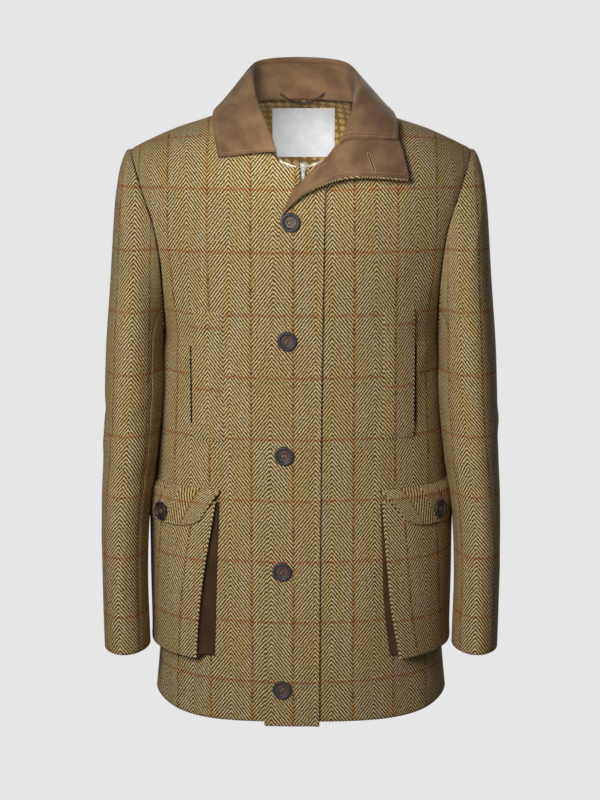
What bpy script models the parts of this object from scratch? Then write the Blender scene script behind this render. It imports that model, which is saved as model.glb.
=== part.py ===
"""Field coat in tweed: worn, hollow, buttoned, with a turned-back lapel.

Metres, +Z up. The front faces -Y and +X is the viewer's right. The origin is
inside the neck, level with the shoulders, where a wearer carries the coat.
"""
import math

import bmesh
import bpy
from mathutils import Vector

# Cloth and seams
WALL = 0.002
COLLAR_WALL = 0.0018
TAPE_WALL = 0.0008
LINING_WALL = 0.001
LABEL_WALL = 0.0006
WELT_WALL = 0.0015
LAPEL_WALL = 0.0014
SEAM = 0.0003

# Clearance of a piece that lies on another one
LIE = 0.0010
WELT_LIE = 0.0016
FLAP_LIE = 0.0015
GUSSET_LIE = 0.0014
LINING_LIE = 0.0013
LABEL_LIE = 0.0022

# Body
SECTION_POWER = 2.3
SHOULDER_ROLL = 0.075
UNDERARM_Z = -0.290
TIP_X = 0.2255
TIP_Z = -0.0465
NECK_X = 0.075
FRONT_NECK_Z = -0.066
SIDE_NECK_Z = 0.018
BACK_NECK_RISE = 0.004
ZIP_X = 0.003
FRONT_EDGE_GAP = 0.005
STEP = 0.0002

# Sleeves
CUFF_Z = -0.7060
UNDER_SLEEVE_ROW = 2
SLEEVE_SEAM_GAP_DEGREES = 0.16
SLEEVE_CROWN = 0.040
SLEEVE_ROW_POWER = 1.8
ARMHOLE_GAP = 0.0005
SLEEVE_ROWS = 12
SLEEVE_STEP = 0.01
SHOULDER_BLEND = 0.6

# Pockets
POCKET_BACK_DEGREES = 113.0
PATCH_TOP_Z = -0.4985
PATCH_BOTTOM_Z = -0.707
FLAP_TOP_Z = -0.4835
FLAP_CORNER = 0.012
FLAP_CORNER_SHARE = 1 / 6
FLAP_ROLL_SHARE = 0.2
FLAP_BACK_DEGREES = 114.0
FLAP_COLUMNS = (0.0, 0.04, 0.09, 0.16, 0.27, 0.4, 0.52, 0.64, 0.76, 0.88, 1.0)
FLAP_ROWS = (0.0, 0.1, 0.2, 0.4, 0.65, 0.85, 1.0)
GUSSET_FOLD = 0.005
GUSSET_WALL = 0.0012
GUSSET_INSET_DEGREES = 0.4
GUSSET_END = 0.001
GUSSET_TURN_PER_METRE = 360.0

# Shares along a gusset: its two corners, half the bend at a corner, its other lines
GUSSET_CORNERS = (0.42, 0.62)
GUSSET_BEND = 0.03
GUSSET_FRONT = (0.0, 0.08, 0.16, 0.24, 0.32)
GUSSET_BOTTOM = (0.465, 0.485, 0.505, 0.525, 0.545, 0.57)
GUSSET_BACK = (0.72, 0.82, 0.91, 1.0)

# Buttons
BUTTON_RADIUS = 0.0125
BUTTON_DEPTH = 0.0042
BUTTON_SIDES = 16
MERGE = 0.00002

# Half section of a button, as shares of its radius and depth
BUTTON_SECTION = (
    (0.0, 0.55), (0.62, 0.60), (0.72, 0.95), (0.86, 1.0), (0.98, 0.80), (1.0, 0.55), (0.80, 0.0), (0.0, 0.0),
)

# Zip slider and pull
SLIDER_SIZE = (0.0084, 0.0042, 0.0105)
SLIDER_Z = -0.0665
PULL_SIZE = (0.0048, 0.0012, 0.0135)
PULL_TOP = 0.0008
PULL_CLEAR = 0.0013
BOX_BEVEL_SHARE = 0.22
TAPE_X = (0.0012, 0.0160)
TAPE_HEM_RISE = 0.030
TAPE_TOP_DROP = 0.002

# Hanger chain
CHAIN_RADIUS = 0.0014
CHAIN_HALF_SPAN = 0.030
CHAIN_X = 0.002
CHAIN_TOP_Z = 0.0255
CHAIN_SAG = 0.014
CHAIN_BELLY = 0.004
CHAIN_STEPS = 16

COLOURS = {
    "tweed": ((0.26, 0.20, 0.09, 1.0), 0.95, 0.0),
    "suede": ((0.20, 0.11, 0.06, 1.0), 0.90, 0.0),
    "lining": ((0.42, 0.28, 0.10, 1.0), 0.50, 0.0),
    "label": ((0.80, 0.80, 0.78, 1.0), 0.60, 0.0),
    "horn": ((0.06, 0.05, 0.04, 1.0), 0.35, 0.0),
    "tape": ((0.12, 0.09, 0.05, 1.0), 0.80, 0.0),
    "metal": ((0.55, 0.53, 0.50, 1.0), 0.30, 1.0),
    "dark_metal": ((0.12, 0.11, 0.10, 1.0), 0.40, 1.0),
}


def table(columns, rows):
    """Rows of numbers as named columns; the first column is the key and rises."""
    return {name: [row[i] for row in rows] for i, name in enumerate(columns)}, columns[0]


BODY = table(("height", "half_width", "front_depth", "back_depth"), (
    (-0.80, 0.2010, 0.147, 0.126),
    (-0.70, 0.1905, 0.145, 0.124),
    (-0.60, 0.1870, 0.141, 0.122),
    (-0.50, 0.1860, 0.137, 0.120),
    (-0.41, 0.1865, 0.135, 0.118),
    (-0.35, 0.1835, 0.135, 0.118),
    (-0.29, 0.1820, 0.135, 0.118),
    (-0.25, 0.1910, 0.134, 0.120),
    (-0.20, 0.2080, 0.132, 0.121),
    (-0.15, 0.2220, 0.128, 0.120),
    (-0.10, 0.2330, 0.119, 0.114),
    (-0.05, 0.2400, 0.107, 0.104),
    (0.03, 0.2450, 0.088, 0.090),
))

ARMHOLE = table(("height", "x"), (
    (-0.290, 0.1820),
    (-0.275, 0.1808),
    (-0.220, 0.1815),
    (-0.181, 0.1850),
    (-0.144, 0.1915),
    (-0.113, 0.2020),
    (-0.081, 0.2135),
    (-0.0465, 0.2255),
))

SHOULDER = table(("x", "height"), (
    (0.000, 0.034),
    (0.050, 0.027),
    (0.075, 0.018),
    (0.111, -0.001),
    (0.168, -0.0202),
    (0.2255, -0.0465),
    (0.250, -0.060),
))

HEM = table(("share", "height"), (
    (0.00, -0.7885),
    (0.30, -0.7895),
    (0.66, -0.7905),
    (0.85, -0.7875),
    (1.00, -0.7790),
))

SLEEVE = table(("height", "outer", "inner", "half_depth", "centre_y"), (
    (-0.72, 0.2637, 0.2028, 0.058, -0.064),
    (-0.69, 0.2647, 0.2037, 0.059, -0.062),
    (-0.62, 0.2660, 0.2057, 0.062, -0.058),
    (-0.55, 0.2664, 0.2040, 0.066, -0.054),
    (-0.50, 0.2657, 0.1995, 0.069, -0.050),
    (-0.46, 0.2638, 0.1940, 0.072, -0.046),
    (-0.41, 0.2620, 0.1890, 0.076, -0.041),
    (-0.36, 0.2610, 0.1850, 0.080, -0.034),
    (-0.30, 0.2590, 0.1845, 0.083, -0.024),
    (-0.22, 0.2550, 0.1830, 0.083, -0.012),
    (-0.12, 0.2500, 0.1820, 0.080, -0.004),
    (-0.05, 0.2475, 0.1840, 0.074, 0.000),
    (0.00, 0.2460, 0.1860, 0.070, 0.000),
))

PLACKET = table(("height", "left", "right"), (
    (-0.80, -0.0474, 0.0235),
    (-0.62, -0.0442, 0.0241),
    (-0.43, -0.0399, 0.0252),
    (-0.26, -0.0356, 0.0272),
    (-0.12, -0.0275, 0.0296),
    (-0.05, -0.0240, 0.0316),
))
PLACKET_HEM_Z = -0.7945
PLACKET_LIFT = LIE + WALL
PLACKET_TOP_LEFT_Z = -0.12
PLACKET_TOP_RIGHT_Z = -0.05
PLACKET_TOP_SHARE = 0.08

# Top edge of the placket, where the lapel rolls over
PLACKET_TOP = table(("x", "height"), (
    (-0.0300, -0.1330),
    (-0.0253, -0.1290),
    (-0.0114, -0.1010),
    (0.0038, -0.0850),
    (0.0190, -0.0690),
    (0.0330, -0.0580),
))

# Turned-back lapel, from its low tip to its point: upper edge, lower edge, lifts
LAPEL = table(("share", "upper_x", "upper_z", "lower_x", "lower_z", "upper_lift", "lower_lift"), (
    (0.00, -0.0235, -0.1240, -0.0225, -0.1265, 0.0043, 0.0046),
    (0.17, -0.0114, -0.0988, -0.0139, -0.1167, 0.0043, 0.0075),
    (0.33, 0.0045, -0.0806, 0.0050, -0.1013, 0.0043, 0.0110),
    (0.50, 0.0316, -0.0556, 0.0314, -0.0887, 0.0045, 0.0140),
    (0.66, 0.0460, -0.0446, 0.0578, -0.0800, 0.0055, 0.0150),
    (0.83, 0.0720, -0.0366, 0.0932, -0.0790, 0.0075, 0.0140),
    (1.00, 0.1210, -0.0345, 0.1341, -0.0820, 0.0080, 0.0110),
))
FACING_INSET = 0.05

# Collar by its turn in degrees from centre front, from the viewer's left round the back
COLLAR = table(("turn", "roll_x", "roll_y", "roll_z", "edge_x", "edge_y", "edge_z"), (
    (24.0, -0.0295, -0.1170, -0.0480, -0.1058, -0.1020, -0.0542),
    (42.0, -0.0375, -0.1050, -0.0230, -0.1100, -0.0880, -0.0330),
    (58.0, -0.0500, -0.0800, 0.0040, -0.1140, -0.0600, -0.0130),
    (75.0, -0.0600, -0.0450, 0.0360, -0.1150, -0.0200, 0.0030),
    (98.0, -0.0630, 0.0020, 0.0560, -0.1080, 0.0280, 0.0070),
    (135.0, -0.0500, 0.0400, 0.0690, -0.0780, 0.0680, 0.0110),
    (180.0, 0.0020, 0.0610, 0.0730, 0.0020, 0.0930, 0.0080),
    (225.0, 0.0540, 0.0400, 0.0670, 0.0830, 0.0680, 0.0100),
    (262.0, 0.0695, 0.0020, 0.0500, 0.1150, 0.0280, 0.0050),
    (284.0, 0.0712, -0.0460, 0.0320, 0.1220, -0.0200, 0.0010),
    (302.0, 0.0640, -0.0820, 0.0045, 0.1250, -0.0560, -0.0120),
    (318.0, 0.0535, -0.1080, -0.0215, 0.1240, -0.0890, -0.0270),
))
ROLL_DROP = 0.006
ROLL_RISE = 0.016
FALL_BULGE = 0.006
STAND_GAP = 0.0005
STAND_LEAN = 1.6
NECK_AXIS_Y = -0.030
FALL_OUT = 0.65
FALL_DOWN = 0.25
FALL_ROWS = (0.0, 0.06, 0.13, 0.21, 0.31, 0.46, 0.64, 0.82, 1.0)
FALL_STEP = 0.004
COLLAR_STEP_DEGREES = 2.0

BUTTONS = table(("height", "x"), (
    (-0.7445, -0.0248),
    (-0.5872, -0.0246),
    (-0.4351, -0.0218),
    (-0.2860, -0.0178),
    (-0.1362, -0.0136),
))

# One row a side: where the pocket pieces lie, as distances from the centre
SIDES = {
    "right": {
        "sign": -1,
        "welt_x": (0.1009, 0.1400), "welt_z": (-0.4193, -0.2525),
        "patch_edge": table(("height", "x"), (
            (-0.71, 0.1285), (-0.64, 0.1245), (-0.58, 0.1193), (-0.49, 0.1080))),
        "body_line": table(("height", "x"), (
            (-0.71, 0.1120), (-0.64, 0.1100), (-0.58, 0.1080), (-0.49, 0.1040))),
        "flap_x": (0.1037, 0.1285), "flap_low_z": -0.5335,
        "button_x": 0.1735, "button_z": -0.5190,
    },
    "left": {
        "sign": 1,
        "welt_x": (0.1066, 0.1461), "welt_z": (-0.4166, -0.2487),
        "patch_edge": table(("height", "x"), (
            (-0.71, 0.1215), (-0.64, 0.1110), (-0.58, 0.1075), (-0.49, 0.1034))),
        "body_line": table(("height", "x"), (
            (-0.71, 0.1160), (-0.64, 0.1075), (-0.58, 0.1050), (-0.49, 0.1020))),
        "flap_x": (0.1024, 0.1311), "flap_low_z": -0.5335,
        "button_x": 0.1730, "button_z": -0.5160,
    },
}

# How far the patch stands off the body, by height, at its front edge and at the side
PATCH_LIFT = table(("height", "front", "side"), (
    (-0.71, 0.0200, 0.0115),
    (-0.64, 0.0190, 0.0120),
    (-0.56, 0.0130, 0.0105),
    (-0.49, 0.0060, 0.0060),
))


# Reading the tables

def along(tab, column, key):
    """Smooth value of a column at a key, held level past the ends."""
    columns, key_name = tab
    keys = columns[key_name]
    values = columns[column]
    if key <= keys[0]:
        return values[0]
    if key >= keys[-1]:
        return values[-1]
    i = next(n for n in range(len(keys) - 1) if key <= keys[n + 1])

    def slope(n):
        low = max(n - 1, 0)
        high = min(n + 1, len(keys) - 1)
        return (values[high] - values[low]) / (keys[high] - keys[low])

    span = keys[i + 1] - keys[i]
    t = (key - keys[i]) / span
    t2 = t * t
    t3 = t2 * t
    start = (2 * t3 - 3 * t2 + 1) * values[i] + (t3 - 2 * t2 + t) * span * slope(i)
    end = (3 * t2 - 2 * t3) * values[i + 1] + (t3 - t2) * span * slope(i + 1)
    return start + end


def mix(a, b, t):
    return a + (b - a) * t


def clamp(t, low=0.0, high=1.0):
    return max(low, min(high, t))


def smooth(t):
    t = clamp(t)
    return t * t * (3 - 2 * t)


# The body's surface

def body_y(x, z, front):
    """Depth of the body at a place seen from the front or from the back."""
    share = clamp(abs(x) / along(BODY, "half_width", z))
    round_off = (1 - share ** SECTION_POWER) ** (1 / SECTION_POWER)
    reach = clamp((z - along(SHOULDER, "height", abs(x))) / SHOULDER_ROLL + 1)
    over_shoulder = math.sqrt(1 - reach * reach)
    depth = along(BODY, "front_depth" if front else "back_depth", z)
    return (-1 if front else 1) * depth * round_off * over_shoulder


def body_normal(x, z, front):
    slope_x = (body_y(x + STEP, z, front) - body_y(x - STEP, z, front)) / (2 * STEP)
    slope_z = (body_y(x, z + STEP, front) - body_y(x, z - STEP, front)) / (2 * STEP)
    outward = Vector((slope_x, -1, slope_z))
    return outward.normalized() * (1 if front else -1)


def body_place(x, z, lift, front=True):
    """A point on the body, moved out by lift."""
    point = Vector((x, body_y(x, z, front), z))
    return point + body_normal(x, z, front) * lift


def around_place(turn, z, lift, sign):
    """A point by its turn in degrees from centre front, round the side to the back."""
    def on_body(degrees, height):
        sine = abs(math.sin(math.radians(degrees)))
        cosine = math.cos(math.radians(degrees))
        depth = along(BODY, "front_depth" if cosine >= 0 else "back_depth", height)
        y = math.copysign(depth * abs(cosine) ** (2 / SECTION_POWER), -cosine)
        x = along(BODY, "half_width", height) * sine ** (2 / SECTION_POWER)
        return Vector((x, y, height))

    along_turn = on_body(turn + 0.5, z) - on_body(turn - 0.5, z)
    along_height = on_body(turn, z + STEP) - on_body(turn, z - STEP)
    point = on_body(turn, z) + along_turn.cross(along_height).normalized() * lift
    return Vector((point.x * sign, point.y, point.z))


def turn_at(x, z):
    """Turn in degrees of the front surface at a distance from the centre."""
    share = clamp(x / along(BODY, "half_width", z))
    return math.degrees(math.asin(share ** (SECTION_POWER / 2)))


# Making solids

def material(name):
    made = bpy.data.materials.get(name)
    if made is None:
        colour, roughness, metallic = COLOURS[name]
        made = bpy.data.materials.new(name)
        made.use_nodes = True
        shader = made.node_tree.nodes["Principled BSDF"]
        shader.inputs["Base Color"].default_value = colour
        shader.inputs["Roughness"].default_value = roughness
        shader.inputs["Metallic"].default_value = metallic
    return made


def add_object(name, data, material_name):
    made = bpy.data.objects.new(name, data)
    data.materials.append(material(material_name))
    bpy.data.collections["field_coat"].objects.link(made)
    return made


def slab(name, place, columns, rows, wall, material_name):
    """A flat slab in (u, v, depth), bent on to the surface that place gives.

    columns and rows are the shares at which the grid has its lines.
    """
    bm = bmesh.new()
    bmesh.ops.create_grid(bm, x_segments=len(columns) - 1, y_segments=len(rows) - 1, size=1.0)
    bmesh.ops.triangulate(bm, faces=bm.faces[:], quad_method="FIXED")
    made = bmesh.ops.extrude_face_region(bm, geom=bm.faces[:], use_keep_orig=True)
    for vert in made["geom"]:
        if isinstance(vert, bmesh.types.BMVert):
            vert.co.z = 1.0
    for vert in bm.verts:
        u = columns[round((vert.co.x + 1) / 2 * (len(columns) - 1))]
        v = rows[round((vert.co.y + 1) / 2 * (len(rows) - 1))]
        vert.co = place(u, v, -wall * vert.co.z)
    bmesh.ops.recalc_face_normals(bm, faces=bm.faces[:])
    if bm.calc_volume(signed=True) < 0:
        bmesh.ops.reverse_faces(bm, faces=bm.faces[:])
    mesh = bpy.data.meshes.new(name)
    bm.to_mesh(mesh)
    bm.free()
    mesh.shade_smooth()
    return add_object(name, mesh, material_name)


def even(count):
    return [i / count for i in range(count + 1)]


# Fronts and back

# Turns of the neck curve, and shares across a shoulder, where a panel has its lines
FRONT_NECK_TURNS = (0.0, 12.0, 24.0, 42.0, 54.0, 66.0, 76.0, 84.0, 88.0, 90.0)
BACK_NECK_TURNS = (0.0, 24.0, 42.0, 60.0, 78.0, 90.0)
SHOULDER_COLUMNS = (0.44, 0.56, 0.68, 0.79, 0.88, 0.945, 0.985, 1.0)
NECK_ROUND = 0.6


def neck_x(turn):
    """Half width of the neck curve at a turn in degrees from the centre line."""
    return NECK_X * mix(turn / 90, math.sin(math.radians(turn)), NECK_ROUND)


def panel_columns(neck_turns):
    """Lines of a panel: turn at the neck or None, share across low down, share at the top."""
    count = len(neck_turns) - 1
    neck = [(turn, NECK_X / TIP_X * i / count, neck_x(turn) / TIP_X) for i, turn in enumerate(neck_turns)]
    return neck + [(None, share, share) for share in SHOULDER_COLUMNS]


SPREAD_RISE = 0.80
SIDE_ROWS = 7
ARMHOLE_ROWS = 6
ROLL_ROWS = 5
PANEL_ROWS = list(range(SIDE_ROWS + ARMHOLE_ROWS + ROLL_ROWS + 1))
HEM_EDGE_Z = HEM[0]["height"][-1]
UNDERARM_RISE = (UNDERARM_Z - HEM_EDGE_Z) / (TIP_Z - HEM_EDGE_Z)
ROLL_RISE_SHARE = 0.90
ARMHOLE_ROW_POWER = 1.5


def rise_of(row):
    """Share of the way up for a row: even to the underarm, close over the shoulder."""
    if row <= SIDE_ROWS:
        return UNDERARM_RISE * row / SIDE_ROWS
    if row <= SIDE_ROWS + ARMHOLE_ROWS:
        share = ((row - SIDE_ROWS) / ARMHOLE_ROWS) ** ARMHOLE_ROW_POWER
        return mix(UNDERARM_RISE, ROLL_RISE_SHARE, share)
    quarter = math.pi / 2 * (row - SIDE_ROWS - ARMHOLE_ROWS) / ROLL_ROWS
    return mix(ROLL_RISE_SHARE, 1.0, math.sin(quarter))


def edge_z(row):
    return mix(HEM_EDGE_Z, TIP_Z, rise_of(row))


def edge_x(z):
    """Outer edge of a panel: the side seam, and above it the armhole."""
    return along(BODY, "half_width", z) if z <= UNDERARM_Z else along(ARMHOLE, "x", z)


def front_neck_z(turn):
    return mix(SIDE_NECK_Z, FRONT_NECK_Z, math.cos(math.radians(turn)))


def back_neck_z(x):
    return SIDE_NECK_Z + BACK_NECK_RISE * (1 - clamp(abs(x) / NECK_X) ** 2)


def top_z(turn, share, front):
    """Top edge of a panel: the neck curve, then the shoulder seam."""
    if turn is None or turn == 90.0:
        return along(SHOULDER, "height", share * TIP_X)
    return front_neck_z(turn) if front else back_neck_z(share * TIP_X)


def panel_place(column, row, lift, front):
    """A point on a panel: columns run from centre to edge, rows from hem to top."""
    turn, low_share, top_share = column
    rise = rise_of(row)
    share = mix(low_share, top_share, clamp((rise - SPREAD_RISE) / (1 - SPREAD_RISE)) ** 2)
    z = mix(along(HEM, "height", low_share), top_z(turn, top_share, front), rise)
    x = share * edge_x(edge_z(row))
    outward = body_normal(x, z, front)
    on_shoulder_seam = row == PANEL_ROWS[-1] and (turn is None or turn == 90.0)
    on_side_seam = row <= SIDE_ROWS and low_share == 1.0
    if on_shoulder_seam or on_side_seam:
        outward.y = 0
        outward.normalize()
    seam_shift = SEAM / 2 * (-1 if front else 1)
    return Vector((x, body_y(x, z, front) + seam_shift, z)) + outward * lift


def make_front(name, sign):
    """One front, from its zip edge to the side seam and armhole."""
    edge = FRONT_EDGE_GAP + ZIP_X * sign
    reach = NECK_X / TIP_X / 2

    def place(column, row, lift):
        point = panel_place(column, row, lift, True)
        x = point.x + edge * (1 - smooth(column[1] / reach))
        return Vector((x * sign, point.y, point.z))

    return slab(name, place, panel_columns(FRONT_NECK_TURNS), PANEL_ROWS, WALL, "tweed")


def make_back():
    def place(column, row, lift):
        sign, line = column
        point = panel_place(line, row, lift, False)
        return Vector((point.x * sign, point.y, point.z))

    lines = panel_columns(BACK_NECK_TURNS)
    columns = [(-1, line) for line in reversed(lines[1:])] + [(1, line) for line in lines]
    return slab("back", place, columns, PANEL_ROWS, WALL, "tweed")


# Sleeves

def armhole_at(degrees):
    """A point of the armhole and the body's normal there; 90 is the shoulder tip, 180 the front."""
    angle = math.radians(degrees)
    z = mix(UNDERARM_Z, TIP_Z, (1 + math.sin(angle)) / 2)
    front = math.cos(angle) <= 0
    x = along(ARMHOLE, "x", z)
    return Vector((x, body_y(x, z, front), z)), body_normal(x, z, front)


def sleeve_point(degrees, v):
    """The sleeve's outer surface: the armhole at v = 0, the cuff at v = 1."""
    seam, _ = armhole_at(degrees)
    angle = math.radians(degrees)
    z = mix(seam.z, CUFF_Z, v ** SLEEVE_ROW_POWER)
    outer = along(SLEEVE, "outer", z)
    inner = along(SLEEVE, "inner", z)
    x = (outer + inner) / 2 + (outer - inner) / 2 * math.sin(angle)
    y = along(SLEEVE, "centre_y", z) + along(SLEEVE, "half_depth", z) * math.cos(angle)
    away = clamp((seam.z - z) / SLEEVE_CROWN)
    share = math.sqrt(1 - (1 - away) ** 2)
    return Vector((mix(seam.x + ARMHOLE_GAP, x, share), mix(seam.y, y, share), z))


def sleeve_place(degrees, v, lift):
    point = sleeve_point(degrees, v)
    low = max(v - SLEEVE_STEP, 0.0)
    down = sleeve_point(degrees, low + 2 * SLEEVE_STEP) - sleeve_point(degrees, low)
    round_about = sleeve_point(degrees + 1, v) - sleeve_point(degrees - 1, v)
    outward = round_about.cross(down).normalized()
    if v == 0:
        _, body = armhole_at(degrees)
        outward = outward.lerp(body, smooth(math.sin(math.radians(degrees)) / SHOULDER_BLEND)).normalized()
    return point + outward * lift


def make_sleeve(side, sign):
    """Top and under sleeve, with their lines where the panels' rows meet the armhole."""
    middle = (TIP_Z + UNDERARM_Z) / 2
    half = (TIP_Z - UNDERARM_Z) / 2
    heights = [edge_z(row) for row in PANEL_ROWS[SIDE_ROWS:]]
    back = [math.degrees(math.asin(clamp((z - middle) / half, -1.0, 1.0))) for z in heights]
    front = [180 - angle for angle in reversed(back[:-1])]
    cut = UNDER_SLEEVE_ROW
    gap = SLEEVE_SEAM_GAP_DEGREES
    top = back[cut:] + front[:-cut]
    under = front[-cut - 1:] + [angle + 360 for angle in back[1:cut + 1]]
    for part, angles in (("top", top), ("under", under)):
        angles[0] += gap
        angles[-1] -= gap

        def place(u, v, lift):
            point = sleeve_place(u, v, lift)
            return Vector((point.x * sign, point.y, point.z))

        slab(f"{side}_{part}_sleeve", place, angles, even(SLEEVE_ROWS), WALL, "tweed")


# Placket and lapel

def placket_place(u, v, lift):
    top_left = along(PLACKET, "left", PLACKET_TOP_LEFT_Z)
    top_x = mix(top_left, along(PLACKET, "right", PLACKET_TOP_RIGHT_Z), u)
    z = mix(along(PLACKET_TOP, "height", top_x), PLACKET_HEM_Z, v)
    x = mix(along(PLACKET, "left", z), along(PLACKET, "right", z), u)
    x = mix(top_x, x, smooth(v / PLACKET_TOP_SHARE))
    return body_place(x, z, PLACKET_LIFT + lift)


def lapel_place(u, v, lift):
    """The turned-back lapel: u runs to its point, v from the roll to the free edge."""
    x = mix(along(LAPEL, "upper_x", u), along(LAPEL, "lower_x", u), v)
    z = mix(along(LAPEL, "upper_z", u), along(LAPEL, "lower_z", u), v)
    stand = mix(along(LAPEL, "upper_lift", u), along(LAPEL, "lower_lift", u), math.sin(v * math.pi / 2))
    return body_place(x, z, stand + lift)


def make_lapel():
    slab("lapel", lapel_place, even(12), even(5), LAPEL_WALL, "tweed")

    def facing(u, v, lift):
        return lapel_place(u, v * (1 - FACING_INSET), lift + LAPEL_WALL + SEAM)

    slab("lapel_facing", facing, even(12), even(5), LAPEL_WALL, "suede")


# Collar

def neck_seam(turn):
    """The neck seam by its turn in degrees from centre front, taken to the viewer's left."""
    from_front = min(turn, 360 - turn)
    front = from_front <= 90
    half = neck_x(from_front if front else 180 - from_front)
    z = front_neck_z(from_front) if front else back_neck_z(half)
    return Vector((-half if turn < 180 else half, body_y(half, z, front), z))


def collar_vector(prefix, turn):
    return Vector([along(COLLAR, f"{prefix}_{axis}", turn) for axis in "xyz"])


def collar_frame(turn):
    """Directions away from the neck and up, square to the roll line."""
    first = COLLAR[0]["turn"][0]
    last = COLLAR[0]["turn"][-1]
    ahead = collar_vector("roll", min(turn + COLLAR_STEP_DEGREES, last))
    behind = collar_vector("roll", max(turn - COLLAR_STEP_DEGREES, first))
    tangent = (ahead - behind).normalized()
    up = Vector((0, 0, 1))
    up = (up - tangent * tangent.dot(up)).normalized()
    return up.cross(tangent), up


def stand_place(turn, v, lift):
    """The stand, seen from inside the neck: v runs from the neck seam to the roll."""
    away, up = collar_frame(turn)
    seam = neck_seam(turn)
    from_neck = Vector((seam.x, seam.y - NECK_AXIS_Y, 0)).normalized()
    low = seam - from_neck * (WALL + SEAM) + Vector((0, 0, STAND_GAP))
    high = collar_vector("roll", turn) - up * (ROLL_DROP + SEAM)
    point = low.lerp(high, v ** STAND_LEAN)
    point.z = mix(low.z, high.z, v)
    return point - from_neck.lerp(away, v).normalized() * lift


def fall_curve(turn, v):
    roll = collar_vector("roll", turn)
    edge = collar_vector("edge", turn)
    away, up = collar_frame(turn)
    drop = edge - roll
    shoulder = Vector((drop.x * FALL_OUT, drop.y * FALL_OUT, drop.z * FALL_DOWN))
    points = (
        roll - up * ROLL_DROP,
        roll + up * ROLL_RISE,
        roll + shoulder + (up + away).normalized() * FALL_BULGE,
        edge,
    )
    w = 1 - v
    return points[0] * w ** 3 + points[1] * 3 * w * w * v + points[2] * 3 * w * v * v + points[3] * v ** 3


def fall_place(turn, v, lift):
    """The fall, from the top of the stand over the roll to its free edge."""
    first = COLLAR[0]["turn"][0]
    last = COLLAR[0]["turn"][-1]
    low_v = clamp(v - FALL_STEP, 0.0, 1 - 2 * FALL_STEP)
    low_turn = clamp(turn - COLLAR_STEP_DEGREES / 2, first, last - COLLAR_STEP_DEGREES)
    across = fall_curve(turn, low_v + 2 * FALL_STEP) - fall_curve(turn, low_v)
    length = fall_curve(low_turn + COLLAR_STEP_DEGREES, v) - fall_curve(low_turn, v)
    return fall_curve(turn, v) + length.cross(across).normalized() * lift


def make_collar():
    left = [t for t in FRONT_NECK_TURNS if t >= COLLAR[0]["turn"][0]]
    back = [180 - t for t in reversed(BACK_NECK_TURNS[:-1])] + [180 + t for t in BACK_NECK_TURNS[1:]]
    right = [360 - t for t in reversed(FRONT_NECK_TURNS[:-1]) if 360 - t <= COLLAR[0]["turn"][-1]]
    turns = left + back + right
    slab("collar_stand", stand_place, turns, even(3), COLLAR_WALL, "suede")
    slab("collar_fall", fall_place, turns, FALL_ROWS, COLLAR_WALL, "suede")


# Inside the neck

LINING_HALF = 0.068
LINING_LOW_Z = -0.165
LINING_TOP_GAP = 0.004
LINING_ROWS = (0.0, 0.25, 0.45, 0.58, 0.68, 0.76, 0.83, 0.89, 0.95, 1.0)
LABEL_X = (-0.0395, 0.0465)
LABEL_Z = (-0.0640, 0.0030)


def make_neck_inside():
    def lining(u, v, lift):
        x = mix(-LINING_HALF, LINING_HALF, u)
        z = mix(LINING_LOW_Z, back_neck_z(x) - LINING_TOP_GAP, v)
        return body_place(x, z, lift - WALL - LINING_LIE, False)

    slab("neck_lining", lining, even(8), LINING_ROWS, LINING_WALL, "lining")

    def label(u, v, lift):
        x = mix(*LABEL_X, u)
        z = mix(*LABEL_Z, v)
        return body_place(x, z, lift - WALL - LINING_WALL - LABEL_LIE, False)

    slab("neck_label", label, even(6), even(6), LABEL_WALL, "label")


def make_chain():
    """The hanger chain's outer form, sagging between its two ends on the stand's seam."""
    curve = bpy.data.curves.new("hanger_chain", "CURVE")
    curve.dimensions = "3D"
    curve.bevel_depth = CHAIN_RADIUS
    curve.bevel_resolution = 2
    curve.use_fill_caps = True
    spline = curve.splines.new("POLY")
    spline.points.add(CHAIN_STEPS)
    for i in range(CHAIN_STEPS + 1):
        share = mix(-1.0, 1.0, i / CHAIN_STEPS)
        x = CHAIN_X + CHAIN_HALF_SPAN * share
        z = CHAIN_TOP_Z - CHAIN_SAG * (1 - share * share)
        clear = CHAIN_RADIUS + 2 * SEAM + CHAIN_BELLY * (1 - share * share)
        y = neck_inner_y(x) - clear
        spline.points[i].co = (x, y, z, 1.0)
    return add_object("hanger_chain", curve, "dark_metal")


def neck_inner_y(x):
    """Inside face of the stand's foot at the back of the neck."""
    return body_y(x, back_neck_z(x), False) - WALL


# Pockets

def patch_lift(turn, z, inner_turn):
    share = smooth((turn - inner_turn) / (90 - inner_turn))
    return mix(along(PATCH_LIFT, "front", z), along(PATCH_LIFT, "side", z), share)


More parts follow.
